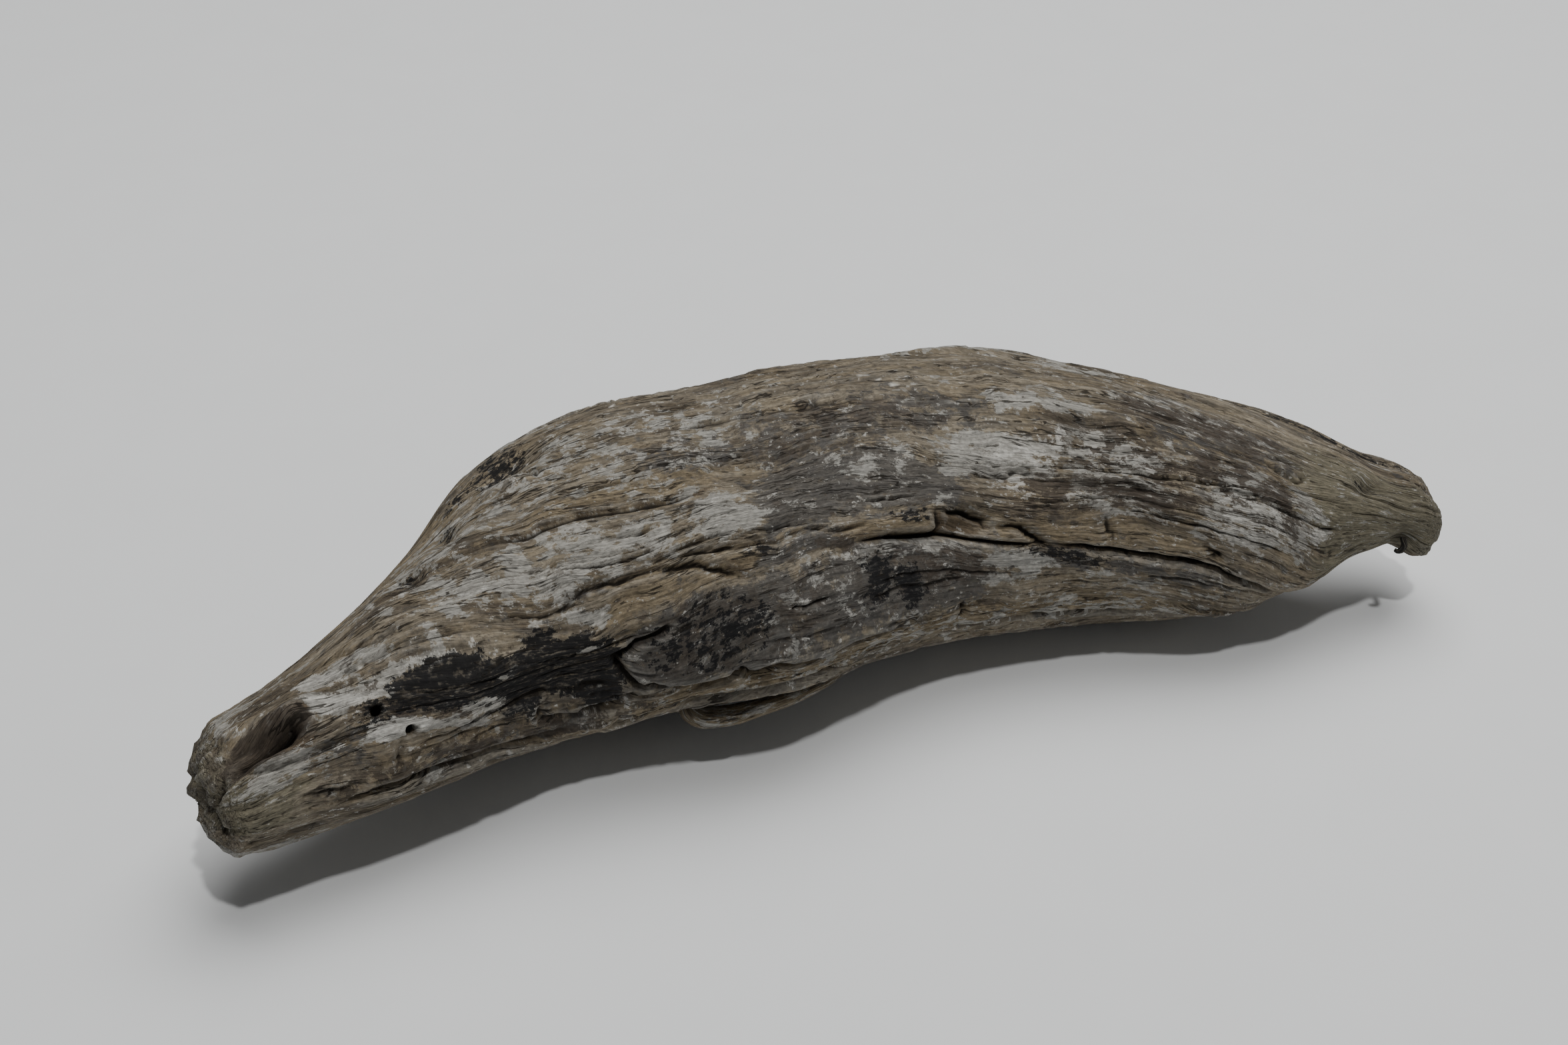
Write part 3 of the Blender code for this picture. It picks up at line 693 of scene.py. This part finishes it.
# Silvery white, where the surface is hard and clean
PATCHES["white"] = (
    (1.0, 1.2, ((-137, 6), (-135, 12), (-130, 11), (-122, 6), (-119, 2), (-125, 0), (-130, 1), (-134, 1))),
    (0.7, 1.0, ((-110, 5), (-107, 4), (-103, -3), (-104, -6), (-108, 0))),
    (0.9, 1.2, ((-148, 36), (-144, 36), (-139, 30), (-134, 24), (-128, 28), (-125, 27), (-129, 22),
        (-136, 20), (-143, 20), (-148, 26))),
    (0.9, 1.2, ((-149, 49), (-143, 50), (-138, 45), (-136, 38), (-141, 40), (-148, 45))),
    (0.8, 1.0, ((-126, 34), (-119, 37), (-112, 36), (-112, 33), (-120, 32))),
    (0.46, 1.5, ((30, 67), (36, 76), (44, 78), (50, 72), (48, 68), (38, 66))),
    (0.48, 1.5, ((30, 56), (32, 64), (41, 66), (38, 57), (40, 54), (32, 54))),
    (0.55, 1.2, ((63, 68), (64, 72), (69, 77), (73, 72), (67, 66))),
    (0.42, 2.0, ((80, 50), (86, 66), (94, 72), (97, 66), (104, 69), (104, 61), (96, 50), (86, 46))),
    (0.42, 1.5, ((107, 69), (112, 74), (117, 75), (116, 64), (109, 57))),
    (0.5, 1.2, ((48, 80), (55, 82), (53, 74), (46, 73))),
)
# Dull brown-green ends
PATCHES["olive"] = (
    (1.0, 8.0, ((-180, -40), (-180, 90), (-172, 80), (-170, 20), (-165, 8), (-154, 0), (-156, -40))),
    (0.9, 8.0, ((114, 40), (108, 84), (118, 120), (160, 130), (160, 20))),
)
# Dark blots. The first is painted shade in the hollow behind the blunt end
PATCHES["dark"] = (
    (1.2, 2.0, ((-172, 26), (-166, 36), (-157, 38), (-149, 32), (-148, 20), (-158, 14), (-168, 15))),
    (0.62, 2.0, ((-140, 14), (-136, 21), (-129, 21), (-117, 8), (-109, -6), (-122, 4), (-132, 12))),
    (0.5, 4.0, ((-120, -9), (-100, -14), (-84, -18), (-70, -12), (-62, -20), (-84, -34), (-120, -26))),
    (0.75, 2.0, ((39, 62), (46, 66), (52, 64), (48, 54), (41, 54))),
    (0.72, 3.0, ((57, 60), (70, 65), (77, 66), (86, 62), (76, 55), (60, 51))),
    (0.72, 2.0, ((76, 75), (85, 81), (98, 83), (94, 77), (83, 71))),
    (0.72, 2.0, ((93, 75), (106, 79), (105, 70), (99, 68))),
    (0.7, 3.0, ((72, 100), (78, 106), (87, 109), (101, 109), (105, 98), (100, 89), (90, 95), (80, 91))),
    (0.66, 2.0, ((103, 70), (108, 73), (106, 57), (101, 58))),
    (0.7, 2.0, ((-23, 33), (-13, 30), (-11, 19), (-22, 20))),
    (0.55, 3.0, ((5, 16), (25, 18), (27, 8), (7, 4))),
)
# Pale grey. The first patch is painted light that brightens the lower front
PATCHES["pale"] = (
    (0.43, 5.0, ((-60, -18), (-20, -7), (60, -7), (92, -12), (92, -30), (-60, -36))),
    (0.38, 6.0, ((-132, 62), (-120, 100), (-60, 112), (-20, 100), (-40, 72), (-90, 70))),
    (1.0, 2.0, ((-149, 39), (-145, 27), (-145, 22), (-140, 18), (-133, 24), (-127, 31), (-123, 34),
        (-114, 37), (-116, 39), (-124, 37), (-131, 35), (-136, 33), (-142, 37))),
    (1.0, 1.5, ((-137, 6), (-134, 9), (-130, 12), (-127, 9), (-120, 3), (-114, -3), (-109, -9), (-113, -9),
        (-121, -3), (-127, 0), (-131, -1), (-134, 2))),
    (1.0, 1.0, ((-110, 5), (-108, 5), (-103, -4), (-105, -5))),
    (0.9, 2.0, ((-149, 47), (-146, 50), (-137, 50), (-127, 48), (-128, 43), (-137, 43), (-146, 46))),
    (0.8, 2.0, ((-117, 4), (-112, 5), (-104, -3), (-103, -8), (-110, -6))),
    (0.85, 3.0, ((-90, 44), (-84, 45), (-74, 34), (-77, 26), (-82, 30), (-87, 38))),
    (1.2, 1.0, ((-105, 12), (-105, 17), (-99, 22), (-100, 12))),
    (0.8, 1.0, ((-85, 11), (-85, 17), (-80, 17), (-79, 12))),
    (0.75, 6.0, ((-118, 48), (-112, 64), (-80, 66), (-56, 65), (-54, 48), (-80, 47), (-100, 50))),
    (1.0, 5.0, ((-54, 50), (-52, 66), (-40, 66), (-32, 58), (-36, 49))),
    (0.5, 5.0, ((-146, 44), (-140, 50), (-122, 48), (-122, 45))),
    (0.6, 4.0, ((-6, 60), (-6, 72), (4, 76), (12, 72), (10, 62))),
    (1.0, 3.0, ((20, 62), (18, 74), (30, 79), (44, 78), (52, 72), (46, 64), (32, 62))),
    (0.9, 4.0, ((40, 88), (40, 98), (56, 99), (68, 94), (66, 87), (50, 86))),
    (0.85, 5.0, ((50, 50), (52, 84), (66, 86), (76, 74), (72, 52))),
    (0.8, 5.0, ((78, 48), (80, 66), (90, 82), (112, 80), (116, 66), (106, 52), (92, 46))),
    (0.6, 5.0, ((74, 96), (76, 108), (92, 116), (104, 110), (108, 96), (92, 90))),
    (0.8, 2.5, ((-172, 4), (-160, 16), (-150, 12), (-144, 2), (-158, 0))),
    (0.8, 3.0, ((24, 4), (24, 17), (36, 18), (44, 10), (36, 2))),
    (0.6, 3.0, ((54, 2), (54, 10), (76, 11), (84, 4), (70, 1))),
    (0.7, 2.0, ((-12, 14), (-12, 19), (22, 19), (22, 13), (8, 15))),
    (0.5, 6.0, ((-176, 44), (-174, 70), (-158, 76), (-150, 62), (-158, 46))),
    (0.35, 5.0, ((-36, 2), (-36, 15), (-30, 18), (-14, 18), (-14, 1))),
)
# Blotched with dark spots
PATCHES["mottle"] = (
    (0.9, 3.0, ((-149, 39), (-145, 22), (-138, 18), (-128, 27), (-118, 38), (-130, 38))),
    (0.8, 6.0, ((-30, 70), (-28, 90), (8, 96), (34, 92), (20, 78))),
    (1.0, 5.0, ((34, 48), (34, 62), (52, 62), (56, 48))),
    (1.0, 6.0, ((50, 50), (52, 84), (72, 88), (84, 74), (80, 52))),
    (1.0, 6.0, ((80, 58), (82, 84), (104, 86), (114, 72), (104, 56))),
    (0.9, 6.0, ((70, 86), (74, 112), (96, 118), (112, 110), (114, 92), (94, 86))),
    (0.7, 3.0, ((-14, 2), (-14, 18), (26, 18), (26, 2))),
    (0.9, 5.0, ((-150, -26), (-148, -8), (-118, -9), (-96, -14), (-86, -10), (-84, -26))),
    (1.0, 3.0, ((-165, 20), (-160, 33), (-150, 34), (-146, 24), (-149, 12), (-158, 12))),
    (0.8, 4.0, ((-178, -40), (-178, 90), (-171, 90), (-170, 40), (-171, -40))),
    (0.7, 4.0, ((-72, 1), (-70, 14), (-58, 18), (-24, 18), (-24, 0), (-60, -1))),
)
# Grey
PATCHES["grey"] = (
    (0.75, 6.0, ((-10, 72), (-8, 92), (20, 98), (40, 90), (30, 80), (8, 78))),
    (1.2, 5.0, ((-34, 46), (-34, 66), (-18, 76), (8, 74), (22, 60), (20, 48))),
    (0.7, 6.0, ((-60, 76), (-58, 86), (-30, 92), (-2, 88), (2, 78), (-24, 76))),
    (1.0, 3.0, ((-74, -2), (-73, 12), (-60, 19), (-20, 19), (24, 19), (25, 0), (-20, -2), (-60, -3))),
    (0.7, 6.0, ((25, 8), (25, 19), (58, 18), (88, 17), (88, 10))),
    (0.8, 4.0, ((-38, 22), (-38, 44), (-14, 44), (-14, 22))),
    (0.8, 7.0, ((76, 84), (80, 98), (84, 114), (98, 116), (112, 108), (116, 92), (98, 84))),
    (0.8, 6.0, ((86, 60), (84, 78), (98, 86), (106, 78), (102, 62))),
    (0.6, 4.0, ((-150, 8), (-136, 14), (-130, 4), (-140, -4))),
    # painted shade along the lower left bottom edge
    (0.6, 5.0, ((-130, -30), (-126, -12), (-100, -16), (-84, -10), (-80, -30))),
)
# Warm tan
PATCHES["tan"] = (
    (1.0, 4.0, ((-98, 69), (-80, 76), (-60, 79), (-44, 76), (-39, 70), (-48, 68), (-66, 69))),
    (1.0, 4.0, ((-78, 22), (-80, 30), (-70, 42), (-50, 43), (-38, 42), (-38, 22), (-60, 20))),
    (1.0, 3.0, ((-16, 21), (-14, 43), (12, 43), (12, 21))),
    (0.8, 5.0, ((28, 22), (28, 46), (60, 47), (84, 40), (88, 24), (60, 20))),
    (0.9, 5.0, ((-72, -22), (-60, -5), (-20, -4), (60, -5), (88, -10), (88, -30), (40, -40), (-60, -40))),
    (0.5, 5.0, ((-146, -30), (-140, -6), (-118, -6), (-100, -12), (-90, -12), (-88, -30))),
    (0.6, 8.0, ((-170, 76), (-120, 78), (-92, 96), (-100, 140), (-160, 140))),
    (0.6, 5.0, ((-30, 62), (-28, 72), (-14, 72), (-14, 60))),
    (0.5, 7.0, ((70, 84), (76, 92), (108, 96), (126, 84), (110, 78), (90, 82))),
)
# Deep brown, where the wood is torn, and a thin line of painted shade along the low edge of the step
PATCHES["ochre"] = (
    (1.0, 2.0, ((13, 23), (13, 45), (26, 45), (27, 34), (22, 24))),
    (1.2, 3.0, ((-167, 20), (-162, 30), (-158, 36), (-150, 36), (-146, 26), (-149, 12), (-158, 12))),
    (0.5, 3.0, ((-49, 22), (-50, 36), (-42, 40), (-39, 30), (-41, 22))),
    # painted shade along the low edge of the step
    (0.6, 3.0, ((-95, 69), (-70, 71), (-42, 69), (-42, 67), (-70, 67), (-95, 66))),
)
# Small spots in the burnt patch where the wood shows
BARE = (
    (1.0, 0.6, ((-104, 13), (-104, 16), (-102, 16.5), (-101, 14), (-102, 12))),
    (1.0, 0.6, ((-101, 18), (-101, 21), (-100, 21), (-100, 18))),
    (1.0, 0.6, ((-84, 12), (-84, 15), (-81, 16), (-79, 14), (-81, 13), (-82, 11))),
    (1.0, 0.8, ((-110, 5), (-108, 5), (-103, -4), (-105, -5))),
)
PATCH_MARGIN = 12   # mm of x past a patch's outline that it can colour
# Tone, how many and their strength, on the sides that the photo doesn't show
HIDDEN_PATCHES = (("pale", 15, 0.8), ("grey", 12, 0.8), ("tan", 12, 0.8), ("mottle", 8, 0.9),
                  ("char_and_shade", 4, 0.6), ("ochre", 4, 0.6))
# White spots: x, place in the grain, size
SPECKS = ((14, 107, 0.7), (17, 102.5, 0.4), (20, 99, 0.9), (-134, 44, 0.5), (63, 121, 0.6), (-52, 123, 0.6))


def outline_distance(x, side, outline):
    """Signed distance in mm from points to a closed outline, positive inside."""
    least, inside = np.full(x.shape, 1e9), np.zeros(x.shape, bool)
    for (x0, y0), (x1, y1) in zip(outline, np.roll(outline, -1, axis=0)):
        step_x, step_y = x1 - x0, y1 - y0
        t = np.clip(((x - x0) * step_x + (side - y0) * step_y) / (step_x ** 2 + step_y ** 2 + 1e-9), 0, 1)
        least = np.minimum(least, np.hypot(x - x0 - t * step_x, side - y0 - t * step_y))
        crosses = (y0 > side) != (y1 > side)
        inside ^= crosses & (x < x0 + (side - y0) * step_x / (step_y if step_y else 1e-9))
    return np.where(inside, least, -least)


def hidden_patches(seed):
    """Patches for the sides that the photo doesn't show, like those that it does."""
    random = np.random.default_rng(seed)
    out = {}
    for tone, count, strength in HIDDEN_PATCHES:
        for _ in range(count):
            x0, grain = random.uniform(-165, 140), random.uniform(135, 322)
            length, breadth = random.uniform(8, 34), random.uniform(4, 13)
            turns = np.linspace(0, 2 * math.pi, 9)[:-1]
            outline = [(x0 + length * size * math.cos(turn), grain + breadth * size * math.sin(turn))
                       for turn, size in zip(turns, random.uniform(0.6, 1.2, 8))]
            out.setdefault(tone, []).append((strength, random.uniform(2, 6), outline))
    return out


def covered(wood, patches):
    """How much of each point is in the patches, up to their strength."""
    out = np.zeros(wood["side"].shape)
    for strength, soft, outline in patches:
        outline = np.array(outline, float)
        low, high = outline[:, 0].min() - PATCH_MARGIN, outline[:, 0].max() + PATCH_MARGIN
        near = (wood["along"] > low) & (wood["along"] < high)
        gap = outline_distance(wood["along"][near], wood["side"][near] * PLACE_MM, outline * (1.0, PLACE_MM))
        out[near] = np.maximum(out[near], strength * ease(-soft, soft, gap))
    return out


def tones(wood):
    """How much of each tone every point has, before the shader breaks up the edges."""
    hidden = hidden_patches(21)
    out = {tone: covered(wood, (*patches, *hidden.get(tone, ()))) for tone, patches in PATCHES.items()}
    out["char_and_shade"] *= 1 - covered(wood, BARE)
    return out


def specks(smooth):
    """Small white spots."""
    out = np.zeros(smooth.shape[:2])
    for x0, centre, size in SPECKS:
        out = np.maximum(out, ease(-0.4, 0.4, size - away(smooth, x0, centre)))
    return out


# Colours of clean and weathered wood, as linear red, green, blue
TONES = {
    "base_dark": (0.066, 0.054, 0.040),
    "base_light": (0.205, 0.178, 0.135),
    "tan": (0.178, 0.143, 0.092),
    "ochre": (0.080, 0.059, 0.037),
    "grey": (0.068, 0.065, 0.062),
    "pale": (0.280, 0.274, 0.252),
    "white": (0.41, 0.40, 0.37),
    "olive": (0.140, 0.128, 0.090),
    "mottle": (0.050, 0.040, 0.031),
    "char_and_shade": (0.008, 0.008, 0.009),
    # Near black of the cracks, also painted into hollows as shade
    "crack_and_shade": (0.012, 0.009, 0.006),
    "speck": (0.55, 0.53, 0.48),
}
# How the edges of a tone's patches break up: spread, sharpness, the noise's shift and how fine it is
EDGES = {
    "tan": (3.2, 0.30, 131.0, 1.0),
    "grey": (4.2, 0.22, 151.0, 1.0),
    "ochre": (3.0, 0.3, 171.0, 1.0),
    "olive": (2.4, 0.3, 181.0, 1.0),
    "pale": (4.6, 0.12, 191.0, 0.8),
    "white": (4.0, 0.12, 201.0, 1.6),
    "dark": (3.4, 0.10, 221.0, 1.3),
    "char_and_shade": (3.8, 0.08, 211.0, 1.9),
}


class Nodes:
    """Short calls for building a material's node tree."""

    def __init__(self, name):
        self.material = bpy.data.materials.new(name)
        self.material.use_nodes = True
        self.tree = self.material.node_tree
        self.shader = self.tree.nodes["Principled BSDF"]

    def set(self, socket, value):
        if isinstance(value, bpy.types.NodeSocket):
            self.tree.links.new(value, socket)
        elif value is not None:
            socket.default_value = value

    def new(self, kind, inputs, **settings):
        """A node with its settings, and its inputs set or linked by name or number."""
        node = self.tree.nodes.new("ShaderNode" + kind)
        for key, value in settings.items():
            setattr(node, key, value)
        for key, value in inputs.items():
            self.set(node.inputs[key], value)
        return node.outputs

    def field(self, name, output="Fac"):
        """A number or vector stored on the mesh."""
        return self.new("Attribute", {}, attribute_type="GEOMETRY", attribute_name=name)[output]

    def sum(self, operation, *values):
        return self.new("Math", dict(enumerate(values)), operation=operation)[0]

    def times(self, a, b):
        return self.sum("MULTIPLY", a, b)

    def noise(self, vector, scale, shift=0.0, detail=2.0, rough=0.55, twist=0.0):
        """Noise with cells of 1/scale mm along and across the grain."""
        shift = (shift, shift * 0.7, shift * 0.3)
        moved = self.new("Mapping", {"Vector": vector, "Scale": scale, "Location": shift})
        return self.new("TexNoise", {"Vector": moved[0], "Scale": 1.0, "Detail": detail, "Roughness": rough,
                                     "Distortion": twist})["Fac"]

    def ramp(self, value, low, high, to_low=0.0, to_high=1.0):
        """A smooth step from to_low at low to to_high at high."""
        inputs = dict(enumerate((value, low, high, to_low, to_high)))
        return self.new("MapRange", inputs, interpolation_type="SMOOTHSTEP")[0]

    def mix(self, a, b, factor, blend="MIX"):
        a, b = ((*value, 1.0) if isinstance(value, tuple) else value for value in (a, b))
        return self.new("Mix", {"Factor": factor, 6: a, 7: b}, data_type="RGBA", blend_type=blend)[2]

    def paint(self, colour, tone, mask, strength):
        """A tone laid over a colour where its mask is, at most so strongly."""
        return self.mix(colour, TONES[tone], self.times(mask, strength))

    def bump(self, height, strength, distance, normal=None):
        return self.new("Bump", {"Strength": strength, "Distance": distance, "Height": height,
                                 "Normal": normal})[0]


def patchy(n, at, name):
    """A tone's mask with its edge broken up along the fibres."""
    spread, crisp, shift, fine = EDGES[name]
    edge = n.sum("SUBTRACT", n.noise(at, (0.21 * fine, 0.35 * fine, 0.35 * fine), shift, 6.0, 0.72), 0.5)
    return n.ramp(n.sum("MULTIPLY_ADD", edge, spread, n.field(name)), 0.5 - crisp, 0.5 + crisp)


def bare_wood(n, at, streak):
    """Colour of the wood between its patches, which drifts between brown, tan and grey."""
    broad = n.noise(at, (0.03, 0.09, 0.09), 3.0, 3.0)
    colour = n.mix(TONES["base_dark"], TONES["base_light"], n.ramp(n.sum("ADD", broad, streak), 0.72, 1.22))
    warm = n.ramp(n.noise(at, (0.05, 0.22, 0.22), 251.0, 4.0, 0.7), 0.48, 0.62)
    colour = n.paint(colour, "tan", warm, 0.55)
    cool = n.ramp(n.noise(at, (0.07, 0.26, 0.26), 271.0, 4.0, 0.7), 0.54, 0.64)
    return n.paint(colour, "grey", cool, 0.45)


def patch_colours(n, at, colour, thread, speckle, blots, hollow):
    """The patches over the bare wood, from the widest to the char."""
    for tone, strength in (("tan", 0.8), ("grey", 0.85), ("ochre", 0.85), ("olive", 0.75), ("pale", 0.85)):
        colour = n.paint(colour, tone, patchy(n, at, tone), strength)
    colour = n.paint(colour, "mottle", n.times(n.field("mottle"), blots), 0.90)
    stray = n.ramp(n.noise(at, (0.15, 0.34, 0.34), 71.0, 5.0, 0.7), 0.59, 0.63)
    colour = n.paint(colour, "mottle", stray, 0.55)
    # Painted highlight: paler where the surface stands above its neighbours
    colour = n.paint(colour, "pale", n.ramp(hollow, -0.15, -0.6), 0.22)
    colour = n.paint(colour, "white", patchy(n, at, "white"), 0.74)
    colour = n.paint(colour, "mottle", patchy(n, at, "dark"), 0.82)
    burnt = n.times(n.ramp(n.field("char_and_shade"), 0.02, 0.25), patchy(n, at, "char_and_shade"))
    worn = n.ramp(n.sum("ADD", n.times(thread, 0.5), n.times(speckle, 0.5)), 0.50, 0.62, 0.97, 0.62)
    return n.mix(colour, TONES["char_and_shade"], n.times(burnt, worn))


def hair_cracks(n, at):
    """Where lines wander along the grain, in some places only."""
    meander = n.noise(at, (0.024, 0.26, 0.26), 301.0, 4.0, 0.6)
    gap = n.sum("ABSOLUTE", n.sum("SUBTRACT", meander, 0.5))
    here = n.ramp(n.noise(at, (0.05, 0.12, 0.12), 321.0, 2.0), 0.45, 0.53)
    return n.times(n.ramp(gap, 0.005, 0.015, 1.0, 0.0), here)


def wood_material():
    """Weathered wood from the tones, fibre coordinates and hollows stored on the mesh, which it paints as
    shade and highlight.
    """
    n = Nodes("weathered wood")
    at, hollow, deep = n.field("fibre", "Vector"), n.field("hollow"), n.field("deep")
    streak = n.noise(at, (0.045, 0.55, 0.55), 11.0, 4.0, 0.65, 0.3)
    thread = n.noise(at, (0.11, 1.9, 1.9), 23.0, 3.0, 0.6)
    blotch = n.noise(at, (0.20, 0.30, 0.30), 31.0, 6.0, 0.70)
    speckle = n.noise(at, (0.7, 1.6, 1.6), 47.0, 3.0, 0.6)
    blots = n.ramp(n.sum("ADD", n.times(blotch, 0.8), n.times(speckle, 0.2)), 0.495, 0.52)
    colour = patch_colours(n, at, bare_wood(n, at, streak), thread, speckle, blots, hollow)
    dashes = n.ramp(n.noise(at, (0.20, 1.5, 1.5), 91.0, 3.0, 0.6), 0.62, 0.69)
    hairs = hair_cracks(n, at)
    colour = n.paint(colour, "crack_and_shade", dashes, 0.75)
    colour = n.paint(colour, "crack_and_shade", hairs, 0.85)
    colour = n.mix(colour, n.ramp(thread, 0.34, 0.62, 0.74, 1.17), 1.0, "MULTIPLY")
    colour = n.mix(colour, n.ramp(speckle, 0.3, 0.7, 0.75, 1.25), 1.0, "MULTIPLY")
    # Painted shade: darker where the surface lies below its neighbours, more so in deep recesses
    colour = n.paint(colour, "crack_and_shade", n.ramp(hollow, 0.18, 1.1), 0.93)
    colour = n.paint(colour, "crack_and_shade", n.ramp(deep, 1.5, 5.5), 0.45)
    n.set(n.shader.inputs["Base Color"], n.mix(colour, TONES["speck"], n.field("speck")))
    n.set(n.shader.inputs["Roughness"], n.ramp(n.field("char_and_shade"), 0.3, 0.7, 0.92, 0.88))
    n.shader.inputs["Specular IOR Level"].default_value = 0.25
    fine = n.bump(thread, 0.55, 0.0006)
    fine = n.bump(streak, 0.45, 0.0012, fine)
    fine = n.bump(speckle, 0.30, 0.0005, fine)
    fine = n.bump(n.sum("SUBTRACT", 1.0, n.sum("MAXIMUM", dashes, hairs)), 0.6, 0.0006, fine)
    n.set(n.shader.inputs["Normal"], n.bump(blots, 0.25, 0.0003, fine))
    return n.material


# Name, place, power in W, size
LIGHTS = (
    ("ceiling", (0.30, 0.28, 1.38), 20.5, 1.3),
    ("lamp", (-0.08, -1.16, 3.08), 35.0, 0.16),
    ("fill", (0.70, -1.00, 0.42), 1.1, 0.8),
)
LOOKED_AT = Vector((0.0018, 0.0198, 0.028))


def added(name, data):
    """A new object in the scene."""
    made = bpy.data.objects.new(name, data)
    bpy.context.scene.collection.objects.link(made)
    return made


def closed_faces(rings, columns):
    """Faces of a tube of rings with a fan at each end, whose tips come after its points."""
    number = np.arange(rings * columns).reshape(rings, columns)
    after = np.roll(number, -1, axis=1)
    faces = np.stack([number[:-1], after[:-1], after[1:], number[1:]], axis=2).reshape(-1, 4).tolist()
    tip = rings * columns
    faces += [[tip, b, a] for a, b in zip(number[0], after[0])]
    return faces + [[tip + 1, a, b] for a, b in zip(number[-1], after[-1])]


def tube(name, grid, tips, fields, material):
    """A piece of wood in metres from rings of points in mm, with its fields stored on its points."""
    mesh = bpy.data.meshes.new(name)
    points = np.vstack([grid.reshape(-1, 3), tips]) - BOX_MIDDLE
    mesh.from_pydata((points * 0.001).tolist(), [], closed_faces(*grid.shape[:2]))
    for key, values in fields.items():
        wide = values.ndim == 3
        ends = [values[0].mean(axis=0), values[-1].mean(axis=0)]
        values = np.concatenate([values.reshape(-1, *values.shape[2:]), ends])
        stored = mesh.attributes.new(key, "FLOAT_VECTOR" if wide else "FLOAT", "POINT")
        stored.data.foreach_set("vector" if wide else "value", values.astype(np.float32).ravel())
    mesh.shade_smooth()
    piece = added(name, mesh)
    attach(piece, "root")
    mesh.materials.append(material)
    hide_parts("driftwood")


def log(material):
    """The piece of wood itself."""
    wood = worn_surface()
    fields = {key: wood[key] for key in ("fibre", "hollow", "deep")}
    ends = body(np.array([float(FIRST), float(LAST)]), np.zeros(2))
    tube("driftwood_surface", wood["grid"], ends, {**fields, **tones(wood), "speck": specks(wood["smooth"])},
         material)


def sliver(name, stations, rings, sides, tone, material):
    """A loose strand of wood, smoothly through its stations and frayed along its length."""
    along = np.linspace(0, len(stations) - 1, rings)
    columns = [curve_through(list(enumerate(column)), along) for column in zip(*stations)]
    grid = strand(np.transpose(columns), sides)
    centre = grid.mean(axis=1, keepdims=True)
    turn = np.linspace(0, 2 * math.pi, sides, endpoint=False)[None, :]
    side, top, far = np.cos(turn), np.sin(turn), along[:, None]
    rough = (1 + 0.10 * noise(far * 1.1, 2.2 * side, 2.2 * top)
             + 0.09 * noise(far * 2.0 + 9, 5 * side, 5 * top))
    grid = centre + (grid - centre) * rough[..., None]
    zero = np.zeros(grid.shape[:2])
    fields = {key: zero for key in ("deep", "speck", *PATCHES)}
    fields[tone], fields["pale"] = zero + 0.8, zero + 0.4
    # Painted shade where the strand is pulled in, painted highlight where it swells out
    fields["hollow"] = (1 - rough) * 3.0
    fields["fibre"] = np.stack([grid[..., 0], 5 * side + zero, 5 * top + zero], -1)
    tube(name, grid, grid[[0, -1]].mean(axis=1), fields, material)


def floor():
    """A plain pale table top."""
    n = Nodes("pale floor")
    grain = n.noise(n.new("TexCoord", {})["Object"], (40.0, 40.0, 40.0))
    n.set(n.shader.inputs["Base Color"], n.mix((0.768, 0.784, 0.797), (0.798, 0.814, 0.827), grain))
    n.shader.inputs["Roughness"].default_value = 0.7
    n.shader.inputs["Specular IOR Level"].default_value = 0.2
    mesh = bpy.data.meshes.new("floor")
    mesh.from_pydata([(-4, -4, 0), (4, -4, 0), (4, 4, 0), (-4, 4, 0)], [], [(0, 1, 2, 3)])
    mesh.materials.append(n.material)
    added("floor", mesh)


def light():
    """A wide soft light from above, a small one that casts the shadow, a weak fill and a pale room."""
    world = bpy.data.worlds.new("pale room")
    bpy.context.scene.world = world
    world.use_nodes = True
    world.node_tree.nodes["Background"].inputs["Color"].default_value = (0.98, 0.99, 1.0, 1.0)
    world.node_tree.nodes["Background"].inputs["Strength"].default_value = 0.085
    for name, at, energy, size in LIGHTS:
        lamp = bpy.data.lights.new(name, "AREA")
        lamp.energy, lamp.size, lamp.color = energy, size, (1.0, 0.99, 0.97)
        holder = added(name, lamp)
        holder.location = at
        holder.rotation_euler = Vector(at).to_track_quat("Z", "Y").to_euler()


def camera():
    """The photo's view: 22 degrees round to the left of the front, 35 degrees up and 0.67 m away."""
    lens = bpy.data.cameras.new("camera")
    lens.sensor_width, lens.lens, lens.clip_start = 36.0, 57.1, 0.01
    round_it, above = math.radians(-22), math.radians(35)
    flat = math.cos(above)
    back = Vector((math.sin(round_it) * flat, -math.cos(round_it) * flat, math.sin(above)))
    right = Vector((math.cos(round_it), math.sin(round_it), 0))
    turned = Matrix((right, back.cross(right), back)).transposed().to_4x4()
    holder = added("camera", lens)
    holder.matrix_world = Matrix.Translation(LOOKED_AT + 0.667 * back) @ turned
    bpy.context.scene.camera = holder


camera()
wood = wood_material()
log(wood)
sliver("splinter", SPLINTER, 90, 26, "tan", wood)
sliver("curled_fibre", CURL, 36, 8, "char_and_shade", wood)
floor()
light()
